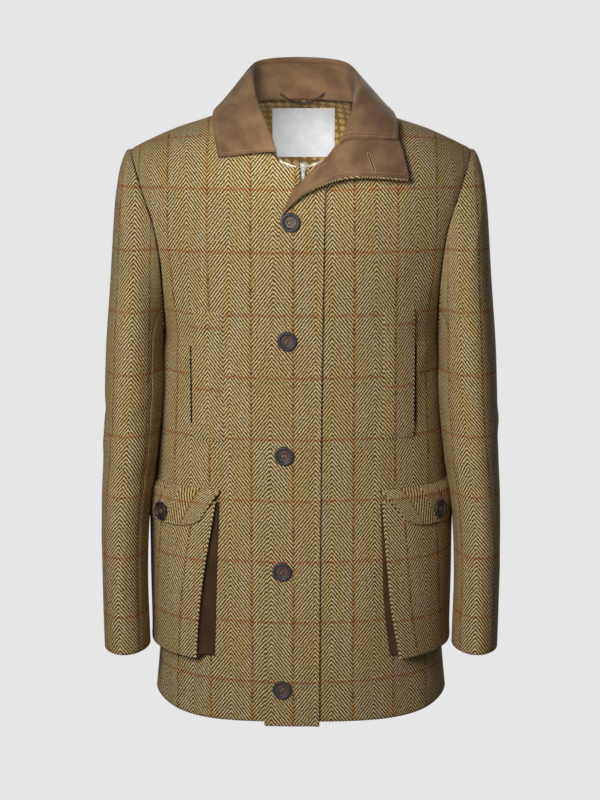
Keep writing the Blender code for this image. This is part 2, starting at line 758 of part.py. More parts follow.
def make_pocket(side, spec):
    sign = spec["sign"]

    def edge_turn(name, z):
        return turn_at(along(spec[name], "x", z), z)

    def patch(u, v, lift):
        z = mix(PATCH_TOP_Z, PATCH_BOTTOM_Z, v)
        inner = edge_turn("patch_edge", z)
        turn = mix(inner, POCKET_BACK_DEGREES, u)
        return around_place(turn, z, patch_lift(turn, z, inner) + lift, sign)

    slab(f"{side}_pocket", patch, even(10), even(7), WALL, "tweed")

    def gusset(u, v, lift):
        """A folded strip: u runs down the front edge, along the bottom and up the back."""
        turn_low, z_low = strip_path("body_line", u)
        turn_high, z_high = strip_path("patch_edge", u)
        turn = mix(turn_low, turn_high, v)
        z = mix(z_low, z_high, v)
        inner = edge_turn("patch_edge", z)
        reach = patch_lift(turn_high, z_high, inner) - WALL - LIE
        fold = math.sin(v * math.pi)
        inset_turn, inset_z = strip_inward(u)
        turn += inset_turn * (fold * GUSSET_FOLD - lift)
        z += inset_z * (fold * GUSSET_FOLD - lift)
        return around_place(turn, z, mix(GUSSET_LIE, reach, v), sign)

    first, second = GUSSET_CORNERS
    z_top = PATCH_TOP_Z - GUSSET_END
    z_bottom = PATCH_BOTTOM_Z + GUSSET_END
    back = POCKET_BACK_DEGREES - GUSSET_INSET_DEGREES

    def strip_path(line, u):
        if u <= first:
            z = mix(z_top, z_bottom, u / first)
            return edge_turn(line, z) + GUSSET_INSET_DEGREES, z
        if u <= second:
            share = (u - first) / (second - first)
            return mix(edge_turn(line, z_bottom) + GUSSET_INSET_DEGREES, back, share), z_bottom
        return back, mix(z_bottom, z_top, (u - second) / (1 - second))

    def strip_inward(u):
        to_back = smooth((u - first + GUSSET_BEND) / (2 * GUSSET_BEND))
        to_top = smooth((u - second + GUSSET_BEND) / (2 * GUSSET_BEND))
        return GUSSET_TURN_PER_METRE * (1 - to_back - to_top), to_back * (1 - to_top)

    step = GUSSET_BEND * 5 / 6
    bends = [corner + shift for corner in GUSSET_CORNERS for shift in (-step, 0.0, step)]
    gusset_columns = sorted([*GUSSET_FRONT, *GUSSET_BOTTOM, *GUSSET_BACK, *bends])
    slab(f"{side}_gusset", gusset, gusset_columns, even(4), GUSSET_WALL, "suede")

    def flap(u, v, lift):
        low_z = spec["flap_low_z"]
        corner = FLAP_CORNER * (1 - clamp(u / FLAP_CORNER_SHARE)) ** 2 * v
        z = mix(FLAP_TOP_Z, low_z, v) + corner
        x = mix(spec["flap_x"][0], spec["flap_x"][1], v)
        turn = mix(turn_at(x, z), FLAP_BACK_DEGREES, u)
        inner = edge_turn("patch_edge", z)
        over = patch_lift(turn, min(z, PATCH_TOP_Z), inner) + FLAP_LIE + WALL
        stand = mix(LIE + WALL, over, smooth(v / FLAP_ROLL_SHARE))
        return around_place(turn, z, stand + lift, sign)

    slab(f"{side}_flap", flap, FLAP_COLUMNS, FLAP_ROWS, WALL, "tweed")

    z = spec["button_z"]
    turn = turn_at(spec["button_x"], z)
    over = patch_lift(turn, z, edge_turn("patch_edge", z)) + FLAP_LIE + LIE + WALL
    seat = around_place(turn, z, over, sign)
    out = around_place(turn, z, over + LIE, sign) - seat
    make_button(f"{side}_flap_button", seat, out)


def make_welt(side, spec):
    sign = spec["sign"]

    def welt(u, v, lift):
        x = mix(*spec["welt_x"], u) * sign
        z = mix(*spec["welt_z"], v)
        return body_place(x, z, lift + WELT_LIE + WELT_WALL)

    slab(f"{side}_welt", welt, even(4), even(8), WELT_WALL, "tweed")


# Buttons and zip

def make_button(name, seat, out):
    """A turned button with a rim round a dished face, its back on the seat."""
    bm = bmesh.new()
    verts = [bm.verts.new((r * BUTTON_RADIUS, 0, h * BUTTON_DEPTH)) for r, h in BUTTON_SECTION]
    edges = [bm.edges.new(pair) for pair in zip(verts, verts[1:])]
    bmesh.ops.spin(bm, geom=verts + edges, axis=(0, 0, 1), cent=(0, 0, 0),
                   steps=BUTTON_SIDES, angle=math.tau, use_merge=False)
    bmesh.ops.remove_doubles(bm, verts=bm.verts[:], dist=MERGE)
    bmesh.ops.recalc_face_normals(bm, faces=bm.faces[:])
    mesh = bpy.data.meshes.new(name)
    bm.to_mesh(mesh)
    bm.free()
    mesh.shade_smooth()
    made = add_object(name, mesh, "horn")
    made.rotation_mode = "QUATERNION"
    made.rotation_quaternion = out.to_track_quat("Z", "Y")
    made.location = seat
    return made


def make_front_buttons():
    columns = BUTTONS[0]
    count = len(columns["height"])
    for i, (z, x) in enumerate(zip(columns["height"], columns["x"])):
        seat = body_place(x, z, PLACKET_LIFT + LIE / 2)
        make_button(f"front_button_{count - i}", seat, body_normal(x, z, True))


def make_zip():
    for side, sign in (("right", -1), ("left", 1)):
        def tape(u, v, lift, sign=sign):
            x = ZIP_X + sign * mix(*TAPE_X, u)
            z = mix(PLACKET_HEM_Z + TAPE_HEM_RISE, FRONT_NECK_Z - TAPE_TOP_DROP, v)
            return body_place(x, z, lift - WALL - LIE)

        slab(f"{side}_zip_tape", tape, even(2), even(12), TAPE_WALL, "tape")
    out = body_normal(ZIP_X, SLIDER_Z, True)
    lean = math.atan2(out.z, -out.y)
    seat = body_place(ZIP_X, SLIDER_Z, SLIDER_SIZE[1] / 2 - WALL - LIE + SEAM)
    slider = box_object("zip_slider", SLIDER_SIZE, "metal")
    slider.location = seat
    slider.rotation_euler = (-lean, 0, 0)
    hinge = bpy.data.objects.new("pull_hinge", None)
    bpy.data.collections["field_coat"].objects.link(hinge)
    hinge.location = seat + out * (SLIDER_SIZE[1] / 2 + PULL_CLEAR)
    hinge.rotation_euler = (-lean, 0, 0)
    pull = box_object("zip_pull", PULL_SIZE, "metal")
    pull.parent = hinge
    pull.location = (0, 0, PULL_TOP - PULL_SIZE[2] / 2)


def box_object(name, size, material_name):
    """A box with softened edges."""
    bm = bmesh.new()
    bmesh.ops.create_cube(bm, size=1.0)
    bmesh.ops.scale(bm, vec=size, verts=bm.verts[:])
    bmesh.ops.bevel(bm, geom=bm.edges[:], offset=min(size) * BOX_BEVEL_SHARE, segments=2, affect="EDGES")
    mesh = bpy.data.meshes.new(name)
    bm.to_mesh(mesh)
    bm.free()
    return add_object(name, mesh, material_name)


def main():
    for old in list(bpy.data.objects):
        bpy.data.objects.remove(old)
    bpy.context.scene.collection.children.link(bpy.data.collections.new("field_coat"))
    make_front("right_front", -1)
    make_front("left_front", 1)
    make_back()
    for side, spec in SIDES.items():
        make_sleeve(side, spec["sign"])
        make_welt(side, spec)
        make_pocket(side, spec)
    slab("fly_placket", placket_place, even(5), even(18), WALL, "tweed")
    make_lapel()
    make_collar()
    make_neck_inside()
    make_chain()
    make_front_buttons()
    make_zip()


main()
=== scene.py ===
"""Looks of the field coat: finer cloth with its weave, sewing, buttons, zip, and the studio round it.

Metres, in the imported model's frame: +Z up, the front faces -Y, +X is the viewer's right.
The tables and surfaces follow the part's own. Some of their values differ from it by up to 14 mm,
because they were set later to come closer to the photo.
"""
import math

import bmesh
import bpy
import numpy as np
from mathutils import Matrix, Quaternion, Vector


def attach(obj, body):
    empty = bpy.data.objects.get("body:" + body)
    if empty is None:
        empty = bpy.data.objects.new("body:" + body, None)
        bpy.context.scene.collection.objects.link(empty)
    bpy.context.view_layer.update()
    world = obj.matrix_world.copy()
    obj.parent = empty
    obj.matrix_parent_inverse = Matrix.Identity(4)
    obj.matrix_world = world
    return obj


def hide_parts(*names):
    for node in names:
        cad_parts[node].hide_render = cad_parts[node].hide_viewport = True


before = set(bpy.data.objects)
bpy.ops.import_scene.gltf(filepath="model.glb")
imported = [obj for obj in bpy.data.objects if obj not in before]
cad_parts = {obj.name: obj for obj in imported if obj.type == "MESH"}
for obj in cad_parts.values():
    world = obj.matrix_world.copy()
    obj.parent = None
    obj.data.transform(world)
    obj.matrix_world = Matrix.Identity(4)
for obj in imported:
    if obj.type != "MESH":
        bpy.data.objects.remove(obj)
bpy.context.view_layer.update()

# Cloth and seams
WALL = 0.002
COLLAR_WALL = 0.0018
TAPE_WALL = 0.0008
LINING_WALL = 0.001
LABEL_WALL = 0.0006
WELT_WALL = 0.0015
LAPEL_WALL = 0.0014
GUSSET_WALL = 0.0012
SEAM = 0.0003
# How far cloth dips towards a seam, and how far from the seam that starts
SEAM_DIP = 0.0009
SEAM_DIP_WIDTH = 0.0045
SLEEVE_SEAM_DIP = 0.0003
ARMHOLE_SEAM_DIP = 0.0008
# How far a rim bulges, as a share of the wall
RIM_BULGE = 0.3

# Clearance of a piece that lies on another one
LIE = 0.0010
WELT_LIE = 0.0016
FLAP_LIE = 0.0015
GUSSET_LIE = 0.0014
LINING_LIE = 0.0013
LABEL_LIE = 0.0022

# The weave: distance from one upright line to the next, from one level line to the next, and a level line
CHECK_WIDTH = 0.0572
CHECK_HEIGHT = 0.0803
CHECK_Z = -0.4150

# Body and neck
SECTION_POWER = 2.3
SHOULDER_ROLL = 0.075
UNDERARM_Z = -0.290
TIP_X = 0.2255
TIP_Z = -0.0465
NECK_X = 0.075
NECK_ROUND = 0.6
FRONT_NECK_Z = -0.066
SIDE_NECK_Z = 0.018
BACK_NECK_RISE = 0.004
ZIP_X = 0.003
FRONT_EDGE_GAP = 0.005
SLOPE_STEP = 0.0002
TURN_STEP_DEGREES = 0.5
SPREAD_RISE = 0.80
ROLL_RISE_SHARE = 0.90
NECK_SHARE = NECK_X / TIP_X

# Sleeves
CUFF_Z = -0.7060
UNDER_SLEEVE_DEGREES = 46.96
SLEEVE_SEAM_GAP_DEGREES = 0.16
SLEEVE_CROWN = 0.040
SLEEVE_ROW_POWER = 1.8
ARMHOLE_GAP = 0.0005

# Pockets
POCKET_BACK_DEGREES = 113.0
PATCH_TOP_Z = -0.4985
PATCH_BOTTOM_Z = -0.707
FLAP_TOP_Z = -0.4835
FLAP_CORNER = 0.008
FLAP_CORNER_SHARE = 1 / 6
FLAP_ROLL_SHARE = 0.2
FLAP_BACK_DEGREES = 114.0
GUSSET_FOLD = 0.005
GUSSET_INSET_DEGREES = 0.4
GUSSET_END = 0.001
GUSSET_TURN_PER_METRE = 360.0
GUSSET_CORNERS = (0.42, 0.62)
GUSSET_BEND = 0.03


def table(columns, rows):
    """Rows of numbers as named columns; the first column is the key and rises."""
    return {name: [row[i] for row in rows] for i, name in enumerate(columns)}, columns[0]


BODY = table(("height", "half_width", "front_depth", "back_depth"), (
    (-0.80, 0.2010, 0.147, 0.126),
    (-0.70, 0.1925, 0.145, 0.124),
    (-0.60, 0.1940, 0.141, 0.122),
    (-0.50, 0.1980, 0.137, 0.120),
    (-0.46, 0.1960, 0.136, 0.119),
    (-0.41, 0.1910, 0.135, 0.118),
    (-0.35, 0.1874, 0.135, 0.118),
    (-0.32, 0.1863, 0.135, 0.118),
    (-0.305, 0.1846, 0.135, 0.118),
    (-0.29, 0.1820, 0.135, 0.118),
    (-0.25, 0.1910, 0.134, 0.120),
    (-0.20, 0.2080, 0.132, 0.121),
    (-0.15, 0.2220, 0.128, 0.120),
    (-0.10, 0.2330, 0.119, 0.114),
    (-0.05, 0.2400, 0.107, 0.104),
    (0.03, 0.2450, 0.088, 0.090),
))

ARMHOLE = table(("height", "x"), (
    (-0.290, 0.1820),
    (-0.275, 0.1808),
    (-0.220, 0.1815),
    (-0.181, 0.1850),
    (-0.144, 0.1915),
    (-0.113, 0.2020),
    (-0.081, 0.2135),
    (-0.0465, 0.2255),
))

SHOULDER = table(("x", "height"), (
    (0.000, 0.034),
    (0.050, 0.027),
    (0.075, 0.018),
    (0.111, -0.001),
    (0.168, -0.0202),
    (0.2255, -0.0465),
    (0.250, -0.060),
))

HEM = table(("share", "height"), (
    (0.00, -0.7885),
    (0.30, -0.7895),
    (0.66, -0.7905),
    (0.85, -0.7875),
    (1.00, -0.7790),
))

SLEEVE = table(("height", "outer", "inner", "half_depth", "centre_y"), (
    (-0.72, 0.2637, 0.2028, 0.058, -0.064),
    (-0.69, 0.2647, 0.2037, 0.059, -0.062),
    (-0.62, 0.2660, 0.2057, 0.062, -0.058),
    (-0.55, 0.2664, 0.2040, 0.066, -0.054),
    (-0.50, 0.2657, 0.1995, 0.069, -0.050),
    (-0.46, 0.2638, 0.1940, 0.072, -0.046),
    (-0.41, 0.2620, 0.1890, 0.076, -0.041),
    (-0.36, 0.2610, 0.1850, 0.080, -0.034),
    (-0.30, 0.2590, 0.1845, 0.083, -0.024),
    (-0.22, 0.2535, 0.1830, 0.083, -0.012),
    (-0.12, 0.2468, 0.1820, 0.080, -0.004),
    (-0.08, 0.2415, 0.1830, 0.077, -0.002),
    (-0.05, 0.2385, 0.1840, 0.074, 0.000),
    (0.00, 0.2370, 0.1860, 0.070, 0.000),
))

PLACKET = table(("height", "left", "right"), (
    (-0.80, -0.0474, 0.0235),
    (-0.62, -0.0442, 0.0241),
    (-0.43, -0.0399, 0.0252),
    (-0.26, -0.0356, 0.0272),
    (-0.12, -0.0275, 0.0296),
    (-0.05, -0.0240, 0.0316),
))
PLACKET_HEM_Z = -0.7945
PLACKET_LIFT = LIE + WALL
PLACKET_TOP_LEFT_Z = -0.12
PLACKET_TOP_RIGHT_Z = -0.05
PLACKET_TOP_SHARE = 0.08

# Top edge of the placket, where the lapel rolls over
PLACKET_TOP = table(("x", "height"), (
    (-0.0300, -0.1330),
    (-0.0253, -0.1290),
    (-0.0114, -0.1010),
    (0.0038, -0.0850),
    (0.0190, -0.0690),
    (0.0330, -0.0580),
))

# Turned-back lapel, from its low tip to its point: upper edge, lower edge, lifts
LAPEL = table(("share", "upper_x", "upper_z", "lower_x", "lower_z", "upper_lift", "lower_lift"), (
    (0.00, -0.0235, -0.1240, -0.0225, -0.1265, 0.0043, 0.0046),
    (0.17, -0.0114, -0.0988, -0.0139, -0.1172, 0.0043, 0.0090),
    (0.33, 0.0045, -0.0806, 0.0050, -0.1025, 0.0043, 0.0140),
    (0.50, 0.0316, -0.0556, 0.0314, -0.0905, 0.0045, 0.0175),
    (0.66, 0.0450, -0.0400, 0.0578, -0.0838, 0.0055, 0.0185),
    (0.83, 0.0700, -0.0270, 0.0932, -0.0835, 0.0075, 0.0175),
    (1.00, 0.1190, -0.0265, 0.1341, -0.0865, 0.0080, 0.0140),
))
FACING_INSET = 0.05

# Collar by its turn in degrees from centre front, from the viewer's left round the back
COLLAR = table(("turn", "roll_x", "roll_y", "roll_z", "edge_x", "edge_y", "edge_z"), (
    (24.0, -0.0295, -0.1170, -0.0480, -0.1058, -0.1020, -0.0542),
    (42.0, -0.0375, -0.1050, -0.0230, -0.1100, -0.0880, -0.0330),
    (58.0, -0.0500, -0.0800, 0.0040, -0.1140, -0.0600, -0.0130),
    (75.0, -0.0600, -0.0450, 0.0360, -0.1150, -0.0200, 0.0030),
    (98.0, -0.0630, 0.0020, 0.0560, -0.1080, 0.0280, 0.0070),
    (135.0, -0.0500, 0.0400, 0.0690, -0.0780, 0.0680, 0.0110),
    (180.0, 0.0020, 0.0610, 0.0730, 0.0020, 0.0930, 0.0080),
    (225.0, 0.0540, 0.0400, 0.0670, 0.0830, 0.0680, 0.0100),
    (262.0, 0.0695, 0.0020, 0.0500, 0.1150, 0.0280, 0.0050),
    (284.0, 0.0712, -0.0460, 0.0320, 0.1220, -0.0200, 0.0010),
    (302.0, 0.0640, -0.0820, 0.0045, 0.1250, -0.0560, -0.0120),
    (318.0, 0.0490, -0.1140, -0.0350, 0.1235, -0.0950, -0.0305),
))
ROLL_DROP = 0.006
ROLL_RISE = 0.016
FALL_BULGE = 0.003
STAND_OVER = 0.0040
STAND_LAP = 0.0050
STAND_LEAN = 1.6
NECK_AXIS_Y = -0.030
FALL_OUT = 0.48
FALL_DOWN = 0.45
COLLAR_STEP_DEGREES = 2.0

BUTTONS = table(("height", "x"), (
    (-0.7445, -0.0248),
    (-0.5872, -0.0246),
    (-0.4351, -0.0218),
    (-0.2860, -0.0178),
    (-0.1362, -0.0136),
))

# One row a side: where the pocket pieces lie, as distances from the centre
SIDES = {
    "right": {
        "sign": -1,
        "welt_x": (0.1009, 0.1400), "welt_z": (-0.4193, -0.2525),
        "patch_edge": table(("height", "x"), (
            (-0.71, 0.1285), (-0.64, 0.1245), (-0.58, 0.1193), (-0.49, 0.1080))),
        "body_line": table(("height", "x"), (
            (-0.71, 0.1120), (-0.64, 0.1100), (-0.58, 0.1080), (-0.49, 0.1040))),
        "flap_x": (0.1037, 0.1285), "flap_low_z": -0.5335,
        "button_x": 0.1735, "button_z": -0.5190,
    },
    "left": {
        "sign": 1,
        "welt_x": (0.1066, 0.1461), "welt_z": (-0.4166, -0.2487),
        "patch_edge": table(("height", "x"), (
            (-0.71, 0.1215), (-0.64, 0.1110), (-0.58, 0.1075), (-0.49, 0.1034))),
        "body_line": table(("height", "x"), (
            (-0.71, 0.1160), (-0.64, 0.1075), (-0.58, 0.1050), (-0.49, 0.1020))),
        "flap_x": (0.1024, 0.1311), "flap_low_z": -0.5335,
        "button_x": 0.1730, "button_z": -0.5160,
    },
}

# How far the patch stands off the body, by height, at its front edge and at the side
PATCH_LIFT = table(("height", "front", "side"), (
    (-0.71, 0.0200, 0.0115),
    (-0.64, 0.0190, 0.0120),
    (-0.56, 0.0130, 0.0105),
    (-0.49, 0.0060, 0.0060),
))


# Reading the tables

def along(tab, column, key):
    """Smooth values of a column at an array of keys, held level past the ends."""
    columns, key_name = tab
    keys = np.array(columns[key_name])
    values = np.array(columns[column])
    last = len(keys) - 1
    low = np.maximum(np.arange(last + 1) - 1, 0)
    high = np.minimum(np.arange(last + 1) + 1, last)
    slopes = (values[high] - values[low]) / (keys[high] - keys[low])
    key = np.clip(key, keys[0], keys[-1])
    i = np.clip(np.searchsorted(keys, key) - 1, 0, last - 1)
    span = keys[i + 1] - keys[i]
    t = (key - keys[i]) / span
    t2 = t * t
    t3 = t2 * t
    start = (2 * t3 - 3 * t2 + 1) * values[i] + (t3 - 2 * t2 + t) * span * slopes[i]
    end = (3 * t2 - 2 * t3) * values[i + 1] + (t3 - t2) * span * slopes[i + 1]
    return start + end


def mix(a, b, t):
    return a + (b - a) * t


def clamp(t, low=0.0, high=1.0):
    return np.clip(t, low, high)


def smooth(t):
    t = clamp(t)
    return t * t * (3 - 2 * t)


def unit(vectors):
    length = np.linalg.norm(vectors, axis=-1, keepdims=True)
    return vectors / np.maximum(length, 1e-12)


def stack(*values):
    """Points, or pairs of cloth coordinates, from their separate values."""
    return np.stack(np.broadcast_arrays(*values), axis=-1).astype(float)


def mirrored(points, sign):
    return points * np.array((sign, 1.0, 1.0))


# The body's surface

def body_y(x, z, front):
    """Depth of the body at places seen from the front or from the back."""
    share = clamp(np.abs(x) / along(BODY, "half_width", z))
    round_off = (1 - share ** SECTION_POWER) ** (1 / SECTION_POWER)
    reach = clamp((z - along(SHOULDER, "height", np.abs(x))) / SHOULDER_ROLL + 1)
    over_shoulder = np.sqrt(1 - reach * reach)
    depth = along(BODY, "front_depth" if front else "back_depth", z)
    return (-1 if front else 1) * depth * round_off * over_shoulder


def body_normal(x, z, front=True):
    run = 2 * SLOPE_STEP
    slope_x = (body_y(x + SLOPE_STEP, z, front) - body_y(x - SLOPE_STEP, z, front)) / run
    slope_z = (body_y(x, z + SLOPE_STEP, front) - body_y(x, z - SLOPE_STEP, front)) / run
    return unit(stack(slope_x, -1.0, slope_z)) * (1 if front else -1)


def body_place(x, z, lift, front=True):
    """Points on the body, moved out by lift."""
    point = stack(x, body_y(x, z, front), z)
    return point + body_normal(x, z, front) * np.asarray(lift)[..., None]


def around_place(turn, z, lift, sign):
    """Points by their turn in degrees from centre front, round the side to the back."""
    def on_body(degrees, height):
        sine = np.abs(np.sin(np.radians(degrees)))
        cosine = np.cos(np.radians(degrees))
        front_depth = along(BODY, "front_depth", height)
        depth = np.where(cosine >= 0, front_depth, along(BODY, "back_depth", height))
        y = -np.sign(cosine) * depth * np.abs(cosine) ** (2 / SECTION_POWER)
        x = along(BODY, "half_width", height) * sine ** (2 / SECTION_POWER)
        return stack(x, y, height)

    along_turn = on_body(turn + TURN_STEP_DEGREES, z) - on_body(turn - TURN_STEP_DEGREES, z)
    along_height = on_body(turn, z + SLOPE_STEP) - on_body(turn, z - SLOPE_STEP)
    outward = unit(np.cross(along_turn, along_height))
    return mirrored(on_body(turn, z) + outward * np.asarray(lift)[..., None], sign)


def turn_at(x, z):
    """Turn in degrees of the front surface at a distance from the centre."""
    share = clamp(x / along(BODY, "half_width", z))
    return np.degrees(np.arcsin(share ** (SECTION_POWER / 2)))


# Grids, creases and cloth

def spans(ends, counts):
    """Even steps from each end to the next, with a count for each span."""
    steps = [np.linspace(a, b, count + 1)[:-1] for a, b, count in zip(ends, ends[1:], counts)]
    return np.concatenate((*steps, ends[-1:]))


def lines(count, edge=0.0, finer=0):
    """Shares from 0 to 1, with finer lines inside a band at each end."""
    if finer == 0:
        return np.linspace(0, 1, count + 1)
    return spans((0, edge, 1 - edge, 1), (finer, count, finer))


def grid(us, vs):
    return np.meshgrid(np.asarray(us), np.asarray(vs), indexing="ij")


def creases(rows, across, up):
    """Soft ridges and troughs: each row has a place, a slant, a length, a width and a height."""
    total = np.zeros(np.broadcast(across, up).shape)
    for x, z, slant, length, width, height in rows:
        angle = math.radians(slant)
        run = (across - x) * math.cos(angle) + (up - z) * math.sin(angle)
        side = (up - z) * math.cos(angle) - (across - x) * math.sin(angle)
        total += height * np.exp(-(run / length) ** 2 - (side / width) ** 2)
    return total


def grid_normals(points):
    return unit(np.cross(np.gradient(points, axis=0), np.gradient(points, axis=1)))


def arc(points, axis=0):
    """Distance run along an axis of a grid, or along a line, from its start."""
    steps = np.linalg.norm(np.diff(points, axis=axis), axis=-1)
    start = np.zeros_like(np.take(steps, [0], axis=axis))
    return np.concatenate((start, np.cumsum(steps, axis=axis)), axis=axis)


def at_run(distance, run, vectors):
    """Vectors at distances along a line, from those at its points."""
    return np.stack([np.interp(distance, run, column) for column in vectors.T], axis=-1)


def seam_dip(distance, depth=SEAM_DIP):
    """How far cloth dips towards a seam at a distance from it."""
    return -depth * np.exp(-(distance / SEAM_DIP_WIDTH) ** 2)


def tube_faces(count, rings, sides, closed=False):
    """Faces of tubes, from the rings of each in turn; a closed tube's last ring meets its first."""
    index = np.arange(count * rings * sides).reshape(count, rings, sides)
    ahead = np.roll(index, -1, axis=1)
    if not closed:
        index = index[:, :-1]
        ahead = ahead[:, :-1]
    corners = (index, ahead, np.roll(ahead, -1, axis=2), np.roll(index, -1, axis=2))
    return np.stack(corners, axis=-1).reshape(-1, 4)


# The outer face of each piece of cloth: its points and its normals
surfaces = {}


def add_mesh(name, verts, faces, uvs=None, marks=None, materials=()):
    """A mesh object with smooth faces, its cloth coordinates and its materials."""
    mesh = bpy.data.meshes.new(name)
    mesh.from_pydata(np.asarray(verts).tolist(), [], np.asarray(faces).tolist())
    if uvs is not None:
        layer = mesh.uv_layers.new(name="cloth")
        corner = np.empty(len(mesh.loops), dtype=np.int32)
        mesh.loops.foreach_get("vertex_index", corner)
        layer.data.foreach_set("uv", np.asarray(uvs)[corner].astype(np.float32).ravel())
    for made in materials:
        mesh.materials.append(made)
    if marks is not None:
        mesh.polygons.foreach_set("material_index", np.asarray(marks, dtype=np.int32))
    mesh.shade_smooth()
    mesh.update()
    piece = bpy.data.objects.new(name, mesh)
    bpy.context.scene.collection.objects.link(piece)
    return piece


def add_trim(name, verts, faces, material):
    """A piece that has no CAD node, fixed to the coat."""
    piece = add_mesh(name, verts, faces, materials=[material])
    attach(piece, "coat")
    return piece


def cloth(node, points, wall, uv, outer, inner=None, flip=False, dip=None):
    """Cloth over a grid of points on its outer face, with a rounded rim, in place of a CAD node.

    dip moves each point along the outward normal before the wall is added.
    """
    count_u, count_v = points.shape[:2]
    turned = -1 if flip else 1
    if dip is not None:
        points = points + grid_normals(points) * turned * dip[..., None]
    normal = grid_normals(points) * turned
    back = points - normal * wall
    index = np.arange(count_u * count_v).reshape(count_u, count_v)
    ring = np.concatenate((index[:, 0], index[-1, 1:], index[-2::-1, -1], index[0, -2:0:-1]))
    row = np.clip(ring // count_v, 1, count_u - 2)
    column = np.clip(ring % count_v, 1, count_v - 2)
    outer_verts = points.reshape(-1, 3)
    back_verts = back.reshape(-1, 3)
    outward = unit(outer_verts[ring] - points[row, column])
    middle = (outer_verts[ring] + back_verts[ring]) / 2 + outward * wall * RIM_BULGE
    verts = np.concatenate((outer_verts, back_verts, middle))
    shift = count_u * count_v
    corners = (index[:-1, :-1], index[1:, :-1], index[1:, 1:], index[:-1, 1:])
    quads = np.stack(corners, axis=-1).reshape(-1, 4)
    after = np.roll(ring, -1)
    place = 2 * shift + np.arange(len(ring))
    place_after = np.roll(place, -1)
    rim_top = np.stack((ring, place, place_after, after), axis=-1)
    rim_low = np.stack((place, ring + shift, after + shift, place_after), axis=-1)
    faces = np.concatenate((quads, rim_top, rim_low, quads[:, ::-1] + shift))
    if flip:
        faces = faces[:, ::-1]
    marks = np.zeros(len(faces), dtype=np.int32)
    marks[-len(quads):] = 0 if inner is None else 1
    flat = uv.reshape(-1, 2)
    uvs = np.concatenate((flat, flat, flat[ring]))
    materials = [outer] if inner is None else [outer, inner]
    piece = add_mesh(f"{node}_cloth", verts, faces, uvs, marks, materials)
    surfaces[node] = (points, normal)
    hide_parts(node)
    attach(piece, "coat")


# Materials

class Graph:
    """A material's nodes, made by short calls whose values are numbers, colours or other nodes' outputs."""

    def __init__(self, name):
        self.material = bpy.data.materials.new(name)
        self.material.use_nodes = True
        self.tree = self.material.node_tree
        self.shader = self.tree.nodes["Principled BSDF"]

    def put(self, socket, value):
        if isinstance(value, bpy.types.NodeSocket):
            self.tree.links.new(value, socket)
        else:
            socket.default_value = value

    def node(self, kind, inputs, **settings):
        """The outputs of a new node with these inputs and settings."""
        made = self.tree.nodes.new(f"ShaderNode{kind}")
        for name, value in settings.items():
            setattr(made, name, value)
        for key, value in inputs.items():
            self.put(made.inputs[key], value)
        return made.outputs

    def math(self, operation, first, second=0.0):
        return self.node("Math", {0: first, 1: second}, operation=operation)[0]

    def add(self, first, second):
        return self.math("ADD", first, second)

    def times(self, first, second):
        return self.math("MULTIPLY", first, second)

    def centred(self, value, strength):
        """A noise moved to lie about zero, times a strength."""
        return self.times(self.add(value, -0.5), strength)

    def wave(self, distance, pitch):
        return self.math("SINE", self.times(distance, math.tau / pitch))

    def fade(self, value, start, end, low=0.0, high=1.0):
        """Runs smoothly from low to high as value goes from start to end."""
        inputs = {"Value": value, "From Min": start, "From Max": end, "To Min": low, "To Max": high}
        return self.node("MapRange", inputs, interpolation_type="SMOOTHSTEP")[0]

    def blend(self, share, first, second, way="MIX"):
        inputs = {0: share, 6: first, 7: second}
        return self.node("Mix", inputs, data_type="RGBA", blend_type=way)[2]

    def shade(self, tone, strength):
        """A colour times a grey strength."""
        grey = self.node("CombineColor", {0: strength, 1: strength, 2: strength})[0]
        return self.blend(1.0, tone, grey, "MULTIPLY")

    def noise(self, vector, scale, detail=2.0, roughness=0.5):
        inputs = {"Vector": vector, "Scale": scale, "Detail": detail, "Roughness": roughness}
        return self.node("TexNoise", inputs)[0]

    def split(self, vector):
        """A vector with its first two parts."""
        across, up, _ = self.node("SeparateXYZ", {0: vector})
        return vector, across, up

    def cloth_place(self):
        return self.split(self.node("UVMap", {}, uv_map="cloth")[0])

    def object_place(self):
        return self.split(self.node("TexCoord", {})["Object"])

    def stretched(self, vector, scale):
        return self.node("Mapping", {"Vector": vector, "Scale": scale})[0]

    def bump(self, height, distance, strength=1.0):
        inputs = {"Strength": strength, "Distance": distance, "Height": height}
        self.put(self.shader.inputs["Normal"], self.node("Bump", inputs)[0])

    def finish(self, tone, roughness, metallic=0.0, sheen=0.0, sheen_roughness=0.5, specular=0.5):
        for name, value in (("Base Color", tone), ("Roughness", roughness), ("Metallic", metallic),
                            ("Sheen Weight", sheen), ("Sheen Roughness", sheen_roughness),
                            ("Specular IOR Level", specular)):
            self.put(self.shader.inputs[name], value)
        return self.material


def colour(red, green, blue):
    """A colour as the eye reads it, 0 to 255, in the linear numbers that shaders use."""
    shares = [part / 255 for part in (red, green, blue)]
    linear = [c / 12.92 if c <= 10 / 255 else ((c + 0.055) / 1.055) ** 2.4 for c in shares]
    return (*linear, 1.0)


TWILL_PITCH = 0.00572
TWILL_SLOPE = 1.28
TWILL_WAVER = 0.0022
# The lines of the check: full colour to the first distance from their middle, none past the second
RUST_LINE = (0.0008, 0.0027)
RED_LINE = (0.0009, 0.0027)


